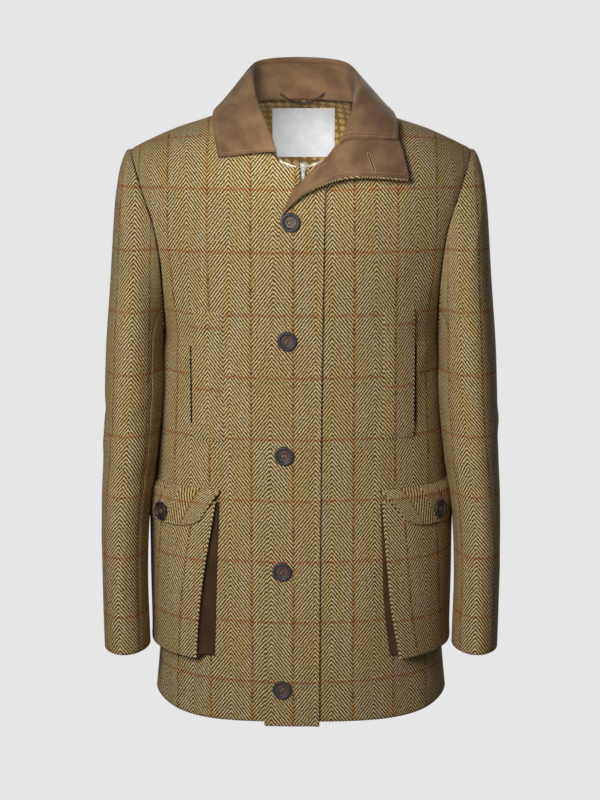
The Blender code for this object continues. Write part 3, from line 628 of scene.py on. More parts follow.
def make_tweed():
    """Herringbone in straw on dark brown, with a rust upright line and a red level line."""
    g = Graph("tweed")
    place, across, up = g.cloth_place()
    waver = g.centred(g.noise(place, 90.0), TWILL_WAVER)
    from_line = g.math("PINGPONG", g.add(across, 10 * CHECK_WIDTH), CHECK_WIDTH / 2)
    from_level = g.math("PINGPONG", g.add(up, 20 * CHECK_HEIGHT), CHECK_HEIGHT / 2)
    climb = g.math("SUBTRACT", g.add(up, waver), g.times(from_line, TWILL_SLOPE))
    grain = g.noise(place, 1500.0, 1.0)
    soft = g.add(g.times(g.wave(climb, TWILL_PITCH), 0.74), g.centred(g.noise(place, 420.0), 3.0))
    stripe = g.fade(g.add(soft, g.centred(grain, 0.9)), -0.38, 0.52)
    upright = g.stretched(place, (70.0, 9.0, 1.0))
    level = g.stretched(place, (8.0, 60.0, 1.0))
    warm = g.fade(g.noise(upright, 1.0), 0.36, 0.64)
    light = g.blend(warm, colour(206, 187, 148), colour(200, 177, 124))
    # Tints of the straw: where each one shows, how strong it is and its colour
    tints = (
        (g.fade(g.noise(level, 1.0, 3.0), 0.50, 0.74), 0.50, colour(190, 172, 152)),
        (g.fade(g.noise(upright, 1.7), 0.54, 0.72), 0.55, colour(206, 160, 126)),
        (g.fade(g.noise(upright, 2.3), 0.54, 0.72), 0.60, colour(180, 178, 128)),
        (g.fade(g.noise(place, 330.0, 1.0), 0.46, 0.62), 0.45, colour(180, 160, 92)),
    )
    for shown, strength, tint in tints:
        light = g.blend(g.times(shown, strength), light, tint)
    dark = g.blend(warm, colour(76, 57, 17), colour(84, 56, 18))
    tone = g.blend(stripe, dark, light)
    fleck = g.fade(g.noise(place, 260.0, 1.0), 0.66, 0.74)
    tone = g.blend(g.times(fleck, 0.35), tone, colour(120, 132, 84))
    patch = g.fade(g.noise(place, 90.0), 0.30, 0.62, 0.35, 1.0)
    faded = g.fade(g.noise(level, 1.0, 1.0), 0.40, 0.60)
    rust = g.blend(faded, colour(122, 70, 26), colour(168, 110, 42))
    rust = g.shade(rust, g.fade(stripe, 0.0, 1.0, 0.50, 1.05))
    on_line = g.times(g.fade(from_line, *RUST_LINE, 1.0, 0.0), g.times(patch, 0.78))
    tone = g.blend(on_line, tone, rust)
    red = g.blend(warm, colour(184, 68, 40), colour(178, 82, 46))
    red = g.shade(red, g.fade(stripe, 0.0, 1.0, 0.45, 1.05))
    on_level = g.times(g.fade(from_level, *RED_LINE, 1.0, 0.0), g.fade(stripe, 0.1, 0.9, 0.22, 0.64))
    tone = g.blend(g.times(on_level, patch), tone, red)
    g.bump(g.add(g.times(stripe, 0.7), g.times(grain, 0.5)), 0.00035, 0.55)
    return g.finish(tone, g.fade(stripe, 0.0, 1.0, 0.95, 0.82), specular=0.05)


def make_suede(name, low, high):
    """Brushed cloth, its nap stroked here and there."""
    g = Graph(name)
    place, _, _ = g.cloth_place()
    stroked = g.noise(g.stretched(place, (26.0, 34.0, 1.0)), 1.0, 3.0)
    grain = g.noise(place, 1300.0, 2.0)
    tone = g.blend(g.fade(stroked, 0.28, 0.72), low, high)
    tone = g.shade(tone, g.fade(grain, 0.25, 0.75, 0.84, 1.10))
    g.bump(g.add(g.times(grain, 0.7), g.noise(place, 260.0)), 0.0003, 0.5)
    return g.finish(tone, 0.92, sheen=0.12, sheen_roughness=0.35, specular=0.15)


# Distances between the slanting lines that the lining's leaves lie on, one way and the other
LEAF_PITCHES = (0.021, 0.027)


def make_lining():
    """Gold lining woven with a plain leaf scroll."""
    g = Graph("lining")
    place, across, up = g.cloth_place()
    bend = g.centred(g.noise(place, 38.0, 1.0), 2.6)
    slants = (g.add(across, up), g.math("SUBTRACT", across, up))
    turns = [g.times(slant, math.tau / pitch) for slant, pitch in zip(slants, LEAF_PITCHES)]
    crossed = g.times(*[g.math("SINE", g.add(turn, bend)) for turn in turns])
    veins = g.math("ABSOLUTE", g.math("SINE", g.add(g.times(crossed, 7.0), bend)))
    figure = g.times(g.fade(crossed, 0.05, 0.22), g.fade(veins, 0.15, 0.5))
    rib = g.wave(up, 0.0007)
    tone = g.blend(figure, colour(140, 104, 46), colour(214, 180, 108))
    tone = g.shade(tone, g.fade(rib, -1.0, 1.0, 0.88, 1.06))
    g.bump(g.add(figure, g.times(rib, 0.25)), 0.00012, 0.6)
    return g.finish(tone, g.fade(figure, 0.0, 1.0, 0.46, 0.62), sheen=0.1)


def make_inside():
    """The coat's own lining, plain twill in a darker gold."""
    g = Graph("inside")
    place, across, up = g.cloth_place()
    rib = g.wave(g.add(across, up), 0.0011)
    tone = g.blend(g.fade(g.noise(place, 30.0), 0.3, 0.7), colour(112, 80, 44), colour(134, 98, 56))
    tone = g.shade(tone, g.fade(rib, -1.0, 1.0, 0.90, 1.05))
    g.bump(g.times(rib, 0.5), 0.0001, 0.4)
    return g.finish(tone, 0.55, sheen=0.1)


def make_label():
    """Bare woven label."""
    g = Graph("label")
    place, across, up = g.cloth_place()
    weave = g.add(g.wave(up, 0.0006), g.wave(across, 0.0005))
    tone = g.blend(g.fade(g.noise(place, 60.0), 0.3, 0.7), colour(240, 242, 244), colour(250, 252, 254))
    tone = g.shade(tone, g.fade(weave, -2.0, 2.0, 0.93, 1.02))
    g.bump(weave, 0.00006, 0.5)
    return g.finish(tone, 0.5, sheen=0.1)


def make_tape():
    """Ribbed tape, its ribs slanting away from the zip."""
    g = Graph("zip_tape")
    _, across, up = g.cloth_place()
    rib = g.wave(g.add(g.math("ABSOLUTE", across), up), 0.0012)
    tone = g.shade(colour(92, 70, 42), g.fade(rib, -1.0, 1.0, 0.75, 1.08))
    g.bump(rib, 0.00008, 0.6)
    return g.finish(tone, 0.8, sheen=0.1)


# Distances from a button's middle between which its dish gives way to its rim
HORN_RIM = (0.0068, 0.0088)


def make_horn():
    """Dark horn, grey-black at the rim and streaked with tan in the dish."""
    g = Graph("horn")
    place, across, up = g.object_place()
    distance = g.math("SQRT", g.add(g.times(across, across), g.times(up, up)))
    cloud = g.noise(place, 150.0, 3.0, 0.6)
    streak = g.noise(g.stretched(place, (330.0, 90.0, 200.0)), 1.0, 3.0, 0.6)
    rim = g.blend(g.fade(streak, 0.35, 0.7), colour(20, 19, 20), colour(46, 44, 46))
    dish = g.blend(g.fade(cloud, 0.34, 0.62), colour(26, 19, 14), colour(74, 52, 35))
    tone = g.blend(g.fade(distance, *HORN_RIM), dish, rim)
    g.bump(streak, 0.00006, 0.3)
    return g.finish(tone, g.fade(streak, 0.2, 0.8, 0.36, 0.52), specular=0.4)


def make_metal(name, low, high, roughness, metallic):
    g = Graph(name)
    place, _, _ = g.object_place()
    worn = g.noise(place, 500.0, 3.0)
    tone = g.blend(g.fade(worn, 0.3, 0.7), low, high)
    g.bump(worn, 0.00004, 0.3)
    return g.finish(tone, g.fade(worn, 0.2, 0.8, roughness, roughness + 0.14), metallic=metallic)


def make_thread(name, low, high):
    """Twisted sewing thread."""
    g = Graph(name)
    place, _, _ = g.object_place()
    twist = g.noise(place, 1800.0, 1.0)
    tone = g.blend(g.fade(twist, 0.3, 0.7), low, high)
    g.bump(twist, 0.00008, 0.5)
    return g.finish(tone, 0.7, sheen=0.1)


tweed = make_tweed()
suede = make_suede("suede", colour(98, 73, 49), colour(132, 103, 73))
# The gussets' suede is darker than the collar's: partly its own tone, partly painted shade of their recess
gusset = make_suede("gusset", colour(58, 38, 18), colour(78, 54, 28))
# Near-black suede for dark strips in the pocket mouths and the buttonhole slit: painted shade of the
# openings
painted_shade = make_suede("pocket_mouth", colour(22, 14, 6), colour(32, 21, 10))
lining = make_lining()
inside = make_inside()
label = make_label()
tape = make_tape()
horn = make_horn()
zip_metal = make_metal("zip_metal", colour(196, 192, 184), colour(226, 222, 214), 0.30, 0.6)
chain_metal = make_metal("chain_metal", colour(52, 46, 40), colour(92, 84, 74), 0.28, 0.9)
tweed_thread = make_thread("tweed_thread", colour(96, 76, 40), colour(126, 102, 58))
suede_thread = make_thread("suede_thread", colour(150, 110, 82), colour(174, 132, 102))
hole_thread = make_thread("hole_thread", colour(148, 118, 86), colour(176, 146, 110))
button_thread = make_thread("button_thread", colour(128, 104, 74), colour(168, 140, 104))

# Fronts and back

SIDE_ROWS = 7
ARMHOLE_ROWS = 6
ROLL_ROWS = 5
ARMHOLE_ROW_POWER = 1.5
HEM_EDGE_Z = HEM[0]["height"][-1]
UNDERARM_RISE = (UNDERARM_Z - HEM_EDGE_Z) / (TIP_Z - HEM_EDGE_Z)
PANEL_ROWS = spans((0, SIDE_ROWS, SIDE_ROWS + ARMHOLE_ROWS, SIDE_ROWS + ARMHOLE_ROWS + ROLL_ROWS),
                   (120, 48, 36))
PANEL_COLUMNS = np.sin(np.linspace(0, math.pi / 2, 61)) ** (2 / SECTION_POWER)
# Above this height the weave's upright lines keep the place they have here
HANG_Z = -0.15
HANG_STEPS = np.sin(np.linspace(0, math.pi / 2, 25))


def neck_x(turn):
    """Half width of the neck curve at a turn in degrees from the centre line."""
    return NECK_X * mix(turn / 90, np.sin(np.radians(turn)), NECK_ROUND)


def front_neck_z(turn):
    return mix(SIDE_NECK_Z, FRONT_NECK_Z, np.cos(np.radians(turn)))


def back_neck_z(x):
    return SIDE_NECK_Z + BACK_NECK_RISE * (1 - clamp(np.abs(x) / NECK_X) ** 2)


def rise_of(row):
    """Share of the way up for a row: even to the underarm, close over the shoulder."""
    side = UNDERARM_RISE * row / SIDE_ROWS
    share = clamp((row - SIDE_ROWS) / ARMHOLE_ROWS) ** ARMHOLE_ROW_POWER
    armhole = mix(UNDERARM_RISE, ROLL_RISE_SHARE, share)
    quarter = math.pi / 2 * clamp((row - SIDE_ROWS - ARMHOLE_ROWS) / ROLL_ROWS)
    roll = mix(ROLL_RISE_SHARE, 1.0, np.sin(quarter))
    return np.where(row <= SIDE_ROWS, side, np.where(row <= SIDE_ROWS + ARMHOLE_ROWS, armhole, roll))


def edge_x(z):
    """Outer edge of a panel: the side seam, and above it the armhole."""
    return np.where(z <= UNDERARM_Z, along(BODY, "half_width", z), along(ARMHOLE, "x", z))


def panel_points(front):
    """Points of half a panel: columns run from centre to edge, rows from hem to top."""
    share, row = grid(PANEL_COLUMNS, PANEL_ROWS)
    turn = 90 * clamp(share / NECK_SHARE)
    on_neck = share < NECK_SHARE
    top_share = np.where(on_neck, neck_x(turn) / TIP_X, share)
    neck_z = front_neck_z(turn) if front else back_neck_z(top_share * TIP_X)
    top = np.where(on_neck, neck_z, along(SHOULDER, "height", top_share * TIP_X))
    rise = rise_of(row)
    spread = mix(share, top_share, clamp((rise - SPREAD_RISE) / (1 - SPREAD_RISE)) ** 2)
    z = mix(along(HEM, "height", share), top, rise)
    x = spread * edge_x(mix(HEM_EDGE_Z, TIP_Z, rise))
    seam_shift = SEAM / 2 * (-1 if front else 1)
    return stack(x, body_y(x, z, front) + seam_shift, z), share, row


def panel_dip(points):
    """Dips towards the seams at the side, the armhole and the shoulder."""
    from_side = arc(points[::-1], 0)[::-1]
    from_top = arc(points[:, ::-1], 1)[:, ::-1]
    return seam_dip(from_side) + seam_dip(from_top)


def hung_uv(points, start, front):
    """Cloth coordinates of a panel that hangs straight: round the body and up over the shoulder."""
    x = points[..., 0]
    z = points[..., 2]
    level = np.minimum(z, HANG_Z)
    across = x[..., None] * HANG_STEPS
    depth = body_y(across, level[..., None], front)
    u = np.hypot(np.diff(across, axis=-1), np.diff(depth, axis=-1)).sum(axis=-1)
    rise = level[..., None] + (z - level)[..., None] * HANG_STEPS
    depth = body_y(x[..., None], rise, front)
    v = level + np.hypot(np.diff(rise, axis=-1), np.diff(depth, axis=-1)).sum(axis=-1)
    return stack(u + start, v - CHECK_Z)


def make_front(side, spec, folds):
    """One front, from its zip edge to the side seam and armhole."""
    sign = spec["sign"]
    edge = FRONT_EDGE_GAP + ZIP_X * sign
    points, share, _ = panel_points(True)
    points[..., 0] += edge * (1 - smooth(share / (NECK_SHARE / 2)))
    uv = hung_uv(points, -spec["front_line"], True)
    dip = panel_dip(points) + creases(folds, points[..., 0], points[..., 2])
    cloth(f"{side}_front", mirrored(points, sign), WALL, uv, tweed, inside, flip=sign < 0, dip=dip)


def make_back(folds):
    half, _, _ = panel_points(False)
    points = np.concatenate((mirrored(half[:0:-1], -1), half))
    half_dip = panel_dip(half)
    dip = np.concatenate((half_dip[:0:-1], half_dip))
    dip = dip + creases(folds, points[..., 0], points[..., 2])
    half_uv = hung_uv(half, -CHECK_WIDTH / 2, False)
    mirror_uv = half_uv[:0:-1] * np.array((-1.0, 1.0)) - np.array((CHECK_WIDTH, 0.0))
    cloth("back", points, WALL, np.concatenate((mirror_uv, half_uv)), tweed, inside, flip=True, dip=dip)


# Sleeves

SLEEVE_STEPS = 48
TOP_SLEEVE_LINES = 110
UNDER_SLEEVE_LINES = 34
SLEEVE_ROWS = spans((0, 0.12, 1), (13, 149))


def armhole_at(degrees):
    """Points of the armhole; 90 is the shoulder tip, 180 the front."""
    angle = np.radians(degrees)
    z = mix(UNDERARM_Z, TIP_Z, (1 + np.sin(angle)) / 2)
    x = along(ARMHOLE, "x", z)
    y = np.where(np.cos(angle) <= 0, body_y(x, z, True), body_y(x, z, False))
    return x, y, z


def sleeve_points(degrees, v):
    """The sleeve's outer surface: the armhole at v = 0, the cuff at v = 1."""
    seam_x, seam_y, seam_z = armhole_at(degrees)
    angle = np.radians(degrees)
    z = mix(seam_z, CUFF_Z, v ** SLEEVE_ROW_POWER)
    outer = along(SLEEVE, "outer", z)
    inner = along(SLEEVE, "inner", z)
    x = (outer + inner) / 2 + (outer - inner) / 2 * np.sin(angle)
    y = along(SLEEVE, "centre_y", z) + along(SLEEVE, "half_depth", z) * np.cos(angle)
    away = clamp((seam_z - z) / SLEEVE_CROWN)
    share = np.sqrt(1 - (1 - away) ** 2)
    return stack(mix(seam_x + ARMHOLE_GAP, x, share), mix(seam_y, y, share), z)


def round_sleeve(first, last, z):
    """Distance round the sleeve at a height, from one place on it to another, both in degrees."""
    half_width = (along(SLEEVE, "outer", z) - along(SLEEVE, "inner", z)) / 2
    half_depth = along(SLEEVE, "half_depth", z)
    steps = (np.arange(SLEEVE_STEPS) + 0.5) / SLEEVE_STEPS
    angle = np.radians(first + (last - first)[..., None] * steps)
    speed = np.hypot(half_width[..., None] * np.cos(angle), half_depth[..., None] * np.sin(angle))
    return speed.mean(axis=-1) * np.radians(last - first)


def sleeve_turn(degrees, points):
    """Degrees round the sleeve by where a point is, since the cap's rows don't run level."""
    outer = along(SLEEVE, "outer", points[..., 2])
    inner = along(SLEEVE, "inner", points[..., 2])
    across = np.degrees(np.arcsin(clamp((2 * points[..., 0] - outer - inner) / (outer - inner), -1.0, 1.0)))
    seen = np.where(degrees < 90, across, np.where(degrees < 270, 180 - across, across + 360))
    return mix(degrees, seen, smooth(2 * np.abs(np.cos(np.radians(degrees)))))


def make_sleeve(side, sign, line_degrees, folds):
    back = -UNDER_SLEEVE_DEGREES
    front = 180 + UNDER_SLEEVE_DEGREES
    gap = SLEEVE_SEAM_GAP_DEGREES
    parts = {
        "top": np.linspace(back + gap, front - gap, TOP_SLEEVE_LINES),
        "under": np.linspace(front + gap, back + 360 - gap, UNDER_SLEEVE_LINES),
    }
    for part, turns in parts.items():
        degrees, v = grid(turns, SLEEVE_ROWS)
        points = sleeve_points(degrees, v)
        z = points[..., 2]
        uv = stack(round_sleeve(line_degrees, sleeve_turn(degrees, points), z), z - CHECK_Z)
        from_seam = np.minimum(arc(points), arc(points[::-1])[::-1])
        dip = seam_dip(from_seam, SLEEVE_SEAM_DIP) + seam_dip(arc(points, 1), ARMHOLE_SEAM_DIP)
        dip = dip + creases(folds, degrees / 1000, z)
        node = f"{side}_{part}_sleeve"
        cloth(node, mirrored(points, sign), WALL, uv, tweed, inside, flip=sign < 0, dip=dip)


# Placket and lapel

PLACKET_LINE_X = -0.0100
PLACKET_SEWN = 0.0085
# The fold at the sewn edge: the share of the width that it takes and its height
PLACKET_FOLD_SHARE = 0.12
PLACKET_FOLD_LIFT = 0.0016


def placket_points(u, v):
    top_left = along(PLACKET, "left", PLACKET_TOP_LEFT_Z)
    top_x = mix(top_left, along(PLACKET, "right", PLACKET_TOP_RIGHT_Z), u)
    z = mix(along(PLACKET_TOP, "height", top_x), PLACKET_HEM_Z, v)
    x = mix(along(PLACKET, "left", z), along(PLACKET, "right", z), u)
    return mix(top_x, x, smooth(v / PLACKET_TOP_SHARE)), z


def make_placket(folds):
    u, v = grid(lines(20, 0.05, 5), lines(190, 0.006, 4))
    x, z = placket_points(u, v)
    points = body_place(x, z, PLACKET_LIFT)
    uv = stack(x - PLACKET_LINE_X, z - CHECK_Z)
    fold = smooth((u - 1) / PLACKET_FOLD_SHARE + 1)
    dip = creases(folds, x, z) + PLACKET_FOLD_LIFT * fold
    cloth("fly_placket", points, WALL, uv, tweed, inside, flip=True, dip=dip)


def lapel_points(u, v, lift):
    """The turned-back lapel: u runs to its point, v from the roll to the free edge."""
    x = mix(along(LAPEL, "upper_x", u), along(LAPEL, "lower_x", u), v)
    z = mix(along(LAPEL, "upper_z", u), along(LAPEL, "lower_z", u), v)
    stand = mix(along(LAPEL, "upper_lift", u), along(LAPEL, "lower_lift", u), np.sin(v * math.pi / 2))
    return body_place(x, z, stand + lift)


def make_lapel():
    u, v = grid(lines(70, 0.02, 3), lines(24, 0.08, 4))
    points = lapel_points(u, v, 0.0)
    uv = stack(arc(points), -arc(points, 1))
    cloth("lapel", points, LAPEL_WALL, uv, tweed, flip=True)
    points = lapel_points(u, v * (1 - FACING_INSET), LAPEL_WALL + SEAM)
    cloth("lapel_facing", points, LAPEL_WALL, uv, suede, flip=True)


# Collar

def neck_seam(turn):
    """The neck seam by its turn in degrees from centre front, taken to the viewer's left."""
    from_front = np.minimum(turn, 360 - turn)
    in_front = from_front <= 90
    half = neck_x(np.where(in_front, from_front, 180 - from_front))
    z = np.where(in_front, front_neck_z(np.minimum(from_front, 90)), back_neck_z(half))
    y = np.where(in_front, body_y(half, z, True), body_y(half, z, False))
    return stack(np.where(turn < 180, -half, half), y, z)


def collar_vector(prefix, turn):
    return stack(*[along(COLLAR, f"{prefix}_{axis}", turn) for axis in "xyz"])


def collar_frame(turn):
    """Directions away from the neck and up, square to the roll line."""
    first = COLLAR[0]["turn"][0]
    last = COLLAR[0]["turn"][-1]
    ahead = collar_vector("roll", np.minimum(turn + COLLAR_STEP_DEGREES, last))
    behind = collar_vector("roll", np.maximum(turn - COLLAR_STEP_DEGREES, first))
    tangent = unit(ahead - behind)
    up = np.zeros_like(tangent)
    up[..., 2] = 1.0
    up = unit(up - tangent * tangent[..., 2:3])
    return np.cross(up, tangent), up


def stand_points(turn, v):
    """The stand's face inside the neck: v runs from the neck seam to the roll."""
    _, up = collar_frame(turn)
    seam = neck_seam(turn)
    from_neck = unit(stack(seam[..., 0], seam[..., 1] - NECK_AXIS_Y, 0.0))
    low = seam - from_neck * (WALL + SEAM + STAND_OVER)
    low[..., 2] -= STAND_LAP
    high = collar_vector("roll", turn) - up * (ROLL_DROP + SEAM)
    points = mix(low, high, v[..., None] ** STAND_LEAN)
    points[..., 2] = mix(low[..., 2], high[..., 2], v)
    return points


def fall_points(turn, v):
    """The fall's outer face, from the top of the stand over the roll to its free edge."""
    roll = collar_vector("roll", turn)
    edge = collar_vector("edge", turn)
    away, up = collar_frame(turn)
    drop = edge - roll
    shoulder = drop * np.array((FALL_OUT, FALL_OUT, FALL_DOWN))
    second = roll + up * ROLL_RISE
    third = roll + shoulder + unit(up + away) * FALL_BULGE
    t = v[..., None]
    w = 1 - t
    return (roll - up * ROLL_DROP) * w ** 3 + second * 3 * w * w * t + third * 3 * w * t * t + edge * t ** 3


def make_collar():
    turns = np.linspace(COLLAR[0]["turn"][0], COLLAR[0]["turn"][-1], 181)
    points = stand_points(*grid(turns, lines(14)))
    cloth("collar_stand", points, COLLAR_WALL, stack(arc(points), arc(points, 1)), suede)
    points = fall_points(*grid(turns, spans((0, 0.3, 1), (15, 29))))
    cloth("collar_fall", points, COLLAR_WALL, stack(arc(points), -arc(points, 1)), suede)


# Inside the neck

LINING_HALF = 0.068
LINING_LOW_Z = -0.165
LINING_TOP_GAP = 0.0030
LABEL_X = (-0.0395, 0.0465)
LABEL_Z = (-0.0610, 0.0088)


def make_neck_inside():
    u, v = grid(lines(34), lines(60))
    x = mix(-LINING_HALF, LINING_HALF, u)
    z = mix(LINING_LOW_Z, back_neck_z(x) - LINING_TOP_GAP, v)
    points = body_place(x, z, -WALL - LINING_LIE - LINING_WALL, False)
    cloth("neck_lining", points, LINING_WALL, stack(x, arc(points, 1)), lining)
    u, v = grid(lines(24, 0.03, 3), lines(20, 0.03, 3))
    x = mix(*LABEL_X, u)
    points = body_place(x, mix(*LABEL_Z, v), -WALL - LINING_WALL - LABEL_LIE - LABEL_WALL, False)
    cloth("neck_label", points, LABEL_WALL, stack(x, arc(points, 1)), label)


# Pockets

def patch_lift(turn, z, inner_turn):
    share = smooth((turn - inner_turn) / (90 - inner_turn))
    return mix(along(PATCH_LIFT, "front", z), along(PATCH_LIFT, "side", z), share)


def pocket_edge(spec, name, z):
    return turn_at(along(spec[name], "x", z), z)


def patch_points(spec, u, v):
    z = mix(PATCH_TOP_Z, PATCH_BOTTOM_Z, v)
    inner = pocket_edge(spec, "patch_edge", z)
    turn = mix(inner, POCKET_BACK_DEGREES, u)
    return around_place(turn, z, patch_lift(turn, z, inner), spec["sign"])


def flap_points(spec, u, v):
    corner = FLAP_CORNER * (1 - clamp(u / FLAP_CORNER_SHARE)) ** 2 * v
    z = mix(FLAP_TOP_Z, spec["flap_low_z"], v) + corner
    x = mix(spec["flap_x"][0], spec["flap_x"][1], v)
    turn = mix(turn_at(x, z), FLAP_BACK_DEGREES, u)
    inner = pocket_edge(spec, "patch_edge", z)
    over = patch_lift(turn, np.minimum(z, PATCH_TOP_Z), inner) + FLAP_LIE + WALL
    stand = mix(LIE + WALL, over, smooth(v / FLAP_ROLL_SHARE))
    return around_place(turn, z, stand, spec["sign"])


def gusset_points(spec, u, v):
    """A folded strip: u runs down the front edge, along the bottom and up the back."""
    first, second = GUSSET_CORNERS
    z_top = PATCH_TOP_Z - GUSSET_END
    z_bottom = PATCH_BOTTOM_Z + GUSSET_END
    back = POCKET_BACK_DEGREES - GUSSET_INSET_DEGREES
    z = np.where(u <= first, mix(z_top, z_bottom, clamp(u / first)),
                 mix(z_bottom, z_top, clamp((u - second) / (1 - second))))

    def strip_turn(line):
        front = pocket_edge(spec, line, z) + GUSSET_INSET_DEGREES
        share = clamp((u - first) / (second - first))
        return np.where(u <= second, mix(front, back, share), back)

    turn_high = strip_turn("patch_edge")
    turn = mix(strip_turn("body_line"), turn_high, v)
    reach = patch_lift(turn_high, z, pocket_edge(spec, "patch_edge", z)) - WALL - LIE
    to_back = smooth((u - first + GUSSET_BEND) / (2 * GUSSET_BEND))
    to_top = smooth((u - second + GUSSET_BEND) / (2 * GUSSET_BEND))
    fold = np.sin(v * math.pi) * GUSSET_FOLD
    turn = turn + GUSSET_TURN_PER_METRE * (1 - to_back - to_top) * fold
    z = z + to_back * (1 - to_top) * fold
    return around_place(turn, z, mix(GUSSET_LIE, reach, v), spec["sign"])


def check_uv(points, line, level=0.0):
    """Cloth coordinates along the cloth from an upright line of the weave, and up from a level one."""
    return stack(arc(points) - line, points[..., 2] - CHECK_Z + level)


def make_pocket(side, spec):
    sign = spec["sign"]
    u, v = grid(lines(60, 0.03, 5), lines(56, 0.03, 5))
    points = patch_points(spec, u, v)
    uv = check_uv(points, spec["patch_line"])
    dip = creases(PATCH_FOLDS, u, v)
    cloth(f"{side}_pocket", points, WALL, uv, tweed, inside, flip=sign > 0, dip=dip)
    points = flap_points(spec, *grid(lines(70, 0.03, 6), lines(16, 0.12, 6)))
    uv = check_uv(points, spec["flap_line"], spec["flap_level"])
    cloth(f"{side}_flap", points, WALL, uv, tweed, inside, flip=sign > 0)
    points = gusset_points(spec, *grid(spans((0, *GUSSET_CORNERS, 1), (59, 59, 59)), lines(14)))
    cloth(f"{side}_gusset", points, GUSSET_WALL, stack(arc(points), arc(points, 1)), gusset, flip=sign < 0)


# How far a welt sinks where it is sewn down, and the shares of its width and length in which it rises
WELT_SEWN_DIP = 0.0019
WELT_EDGE_SHARE = 0.25
WELT_END_SHARE = 0.05
WELT_END_DIP_SHARE = 0.7


def make_welt(side, spec):
    u, v = grid(lines(12, 0.10, 5), lines(40, 0.03, 5))
    x = mix(*spec["welt_x"], u) * spec["sign"]
    points = body_place(x, mix(*spec["welt_z"], v), WELT_LIE + WELT_WALL)
    uv = check_uv(points, spec["welt_line"], spec["welt_level"])
    at_edge = 1 - smooth(u / WELT_EDGE_SHARE)
    at_end = WELT_END_DIP_SHARE * (1 - smooth(np.minimum(v, 1 - v) / WELT_END_SHARE))
    dip = -WELT_SEWN_DIP * np.maximum(at_edge, at_end)
    cloth(f"{side}_welt", points, WELT_WALL, uv, tweed, flip=spec["sign"] < 0, dip=dip)


# Sewing

STITCH_SIDES = 6
# One stitch: share along it, lift in thread radii, and share of the thread's radius
STITCH = np.array((
    (-0.5, -1.2, 0.05),
    (-0.40, -0.1, 0.85),
    (0.0, 0.45, 1.0),
    (0.40, -0.1, 0.85),
    (0.5, -1.2, 0.05),
))
THREAD_RADIUS = 0.00030
STITCH_LENGTH = 0.0029
STITCH_PITCH = 0.0038
# Rows of stitches by piece: an edge, the distance from it, and what is left off at the row's two ends
POCKET_ROWS = {
    "flap": (("first_u", 0.0055, 0.004, 0.006), ("last_v", 0.0055, 0.006, 0.0)),
    "pocket": (("first_u", 0.0045, 0.0, 0.005), ("last_v", 0.0045, 0.005, 0.0)),
    "welt": tuple((edge, 0.0035, 0.003, 0.003) for edge in ("first_v", "last_v", "first_u")),
}
PLACKET_ROWS = (("last_u", PLACKET_SEWN, 0.0, 0.0),)
COLLAR_ROWS = (("last_v", 0.0048, 0.004, 0.004), ("first_u", 0.0048, 0.0, 0.005),
               ("last_u", 0.0045, 0.0, 0.005), ("last_u", 0.0105, 0.0, 0.005))
LAPEL_ROWS = (("last_v", 0.0050, 0.030, 0.005), ("last_u", 0.0050, 0.003, 0.005))


def edge_line(surface, edge, distance, first_trim, last_trim):
    """Points and normals of a line that runs beside one edge of a piece of cloth."""
    lined = []
    for values in surface:
        if edge.endswith("v"):
            values = values.swapaxes(0, 1)
        lined.append(values[::-1] if edge.startswith("last") else values)
    points, normals = lined
    run = arc(points)
    columns = range(points.shape[1])
    place = np.array([at_run(distance, run[:, i], points[:, i]) for i in columns])
    out = np.array([at_run(distance, run[:, i], normals[:, i]) for i in columns])
    gone = arc(place)
    kept = (gone >= first_trim) & (gone <= gone[-1] - last_trim)
    return place[kept], unit(out[kept])


def sew(name, rows, thread, slot, length=STITCH_LENGTH, pitch=STITCH_PITCH, radius=THREAD_RADIUS):
    """Rows of stitches, each a short thread whose ends go down into the cloth."""
    angles = np.arange(STITCH_SIDES) * math.tau / STITCH_SIDES
    verts = []
    for points, normals in rows:
        run = arc(points)
        count = max(1, round(run[-1] / pitch))
        centre = (np.arange(count) + 0.5) * run[-1] / count
        at = centre[:, None] + STITCH[:, 0] * length
        place = at_run(at, run, points)
        normal = unit(at_run(at, run, normals))
        tangent = unit(place[:, -1] - place[:, 0])[:, None]
        side = unit(np.cross(np.broadcast_to(tangent, normal.shape), normal))
        place = place + normal * (STITCH[:, 1] * radius)[:, None]
        ring = side[..., None, :] * np.cos(angles)[:, None] + normal[..., None, :] * np.sin(angles)[:, None]
        reach = (STITCH[:, 2] * radius)[:, None, None]
        verts.append((place[..., None, :] + ring * reach).reshape(-1, 3))
    verts = np.concatenate(verts)
    count = len(verts) // (len(STITCH) * STITCH_SIDES)
    add_trim(name, verts, tube_faces(count, len(STITCH), STITCH_SIDES), thread)


def sew_edges(name, node, rows, thread, slot):
    sew(name, [edge_line(surfaces[node], *row) for row in rows], thread, slot)


def make_sewing():
    for side in SIDES:
        for part, rows in POCKET_ROWS.items():
            sew_edges(f"{side}_{part}_stitches", f"{side}_{part}", rows, tweed_thread, "tweed")
    sew_edges("placket_stitches", "fly_placket", PLACKET_ROWS, tweed_thread, "tweed")
    sew_edges("collar_stitches", "collar_fall", COLLAR_ROWS, suede_thread, "suede")
    sew_edges("lapel_stitches", "lapel_facing", LAPEL_ROWS, suede_thread, "suede")


# Buttons

BUTTON_RADIUS = 0.0125
BUTTON_DEPTH = 0.0042
BUTTON_STEPS = 96
DISH_RINGS = 32
# The dish: its share of the radius, and its height at the middle and what it gains, as shares of the depth
DISH_SHARE = 0.55
DISH_HEIGHT = 0.50
DISH_GAIN = 0.10
# The rim and the back, as shares of the radius and of the depth
BUTTON_RIM = (
    (0.60, 0.575), (0.64, 0.64), (0.68, 0.77), (0.72, 0.89), (0.77, 0.97), (0.83, 1.0), (0.89, 0.98),
    (0.94, 0.92), (0.98, 0.81), (1.0, 0.65), (0.99, 0.44), (0.95, 0.23), (0.88, 0.07), (0.78, 0.0),
    (0.01, 0.0),
)
HOLE_RADIUS = 0.0011
HOLE_DEPTH = 0.0016
HOLE_EDGE = 0.0003
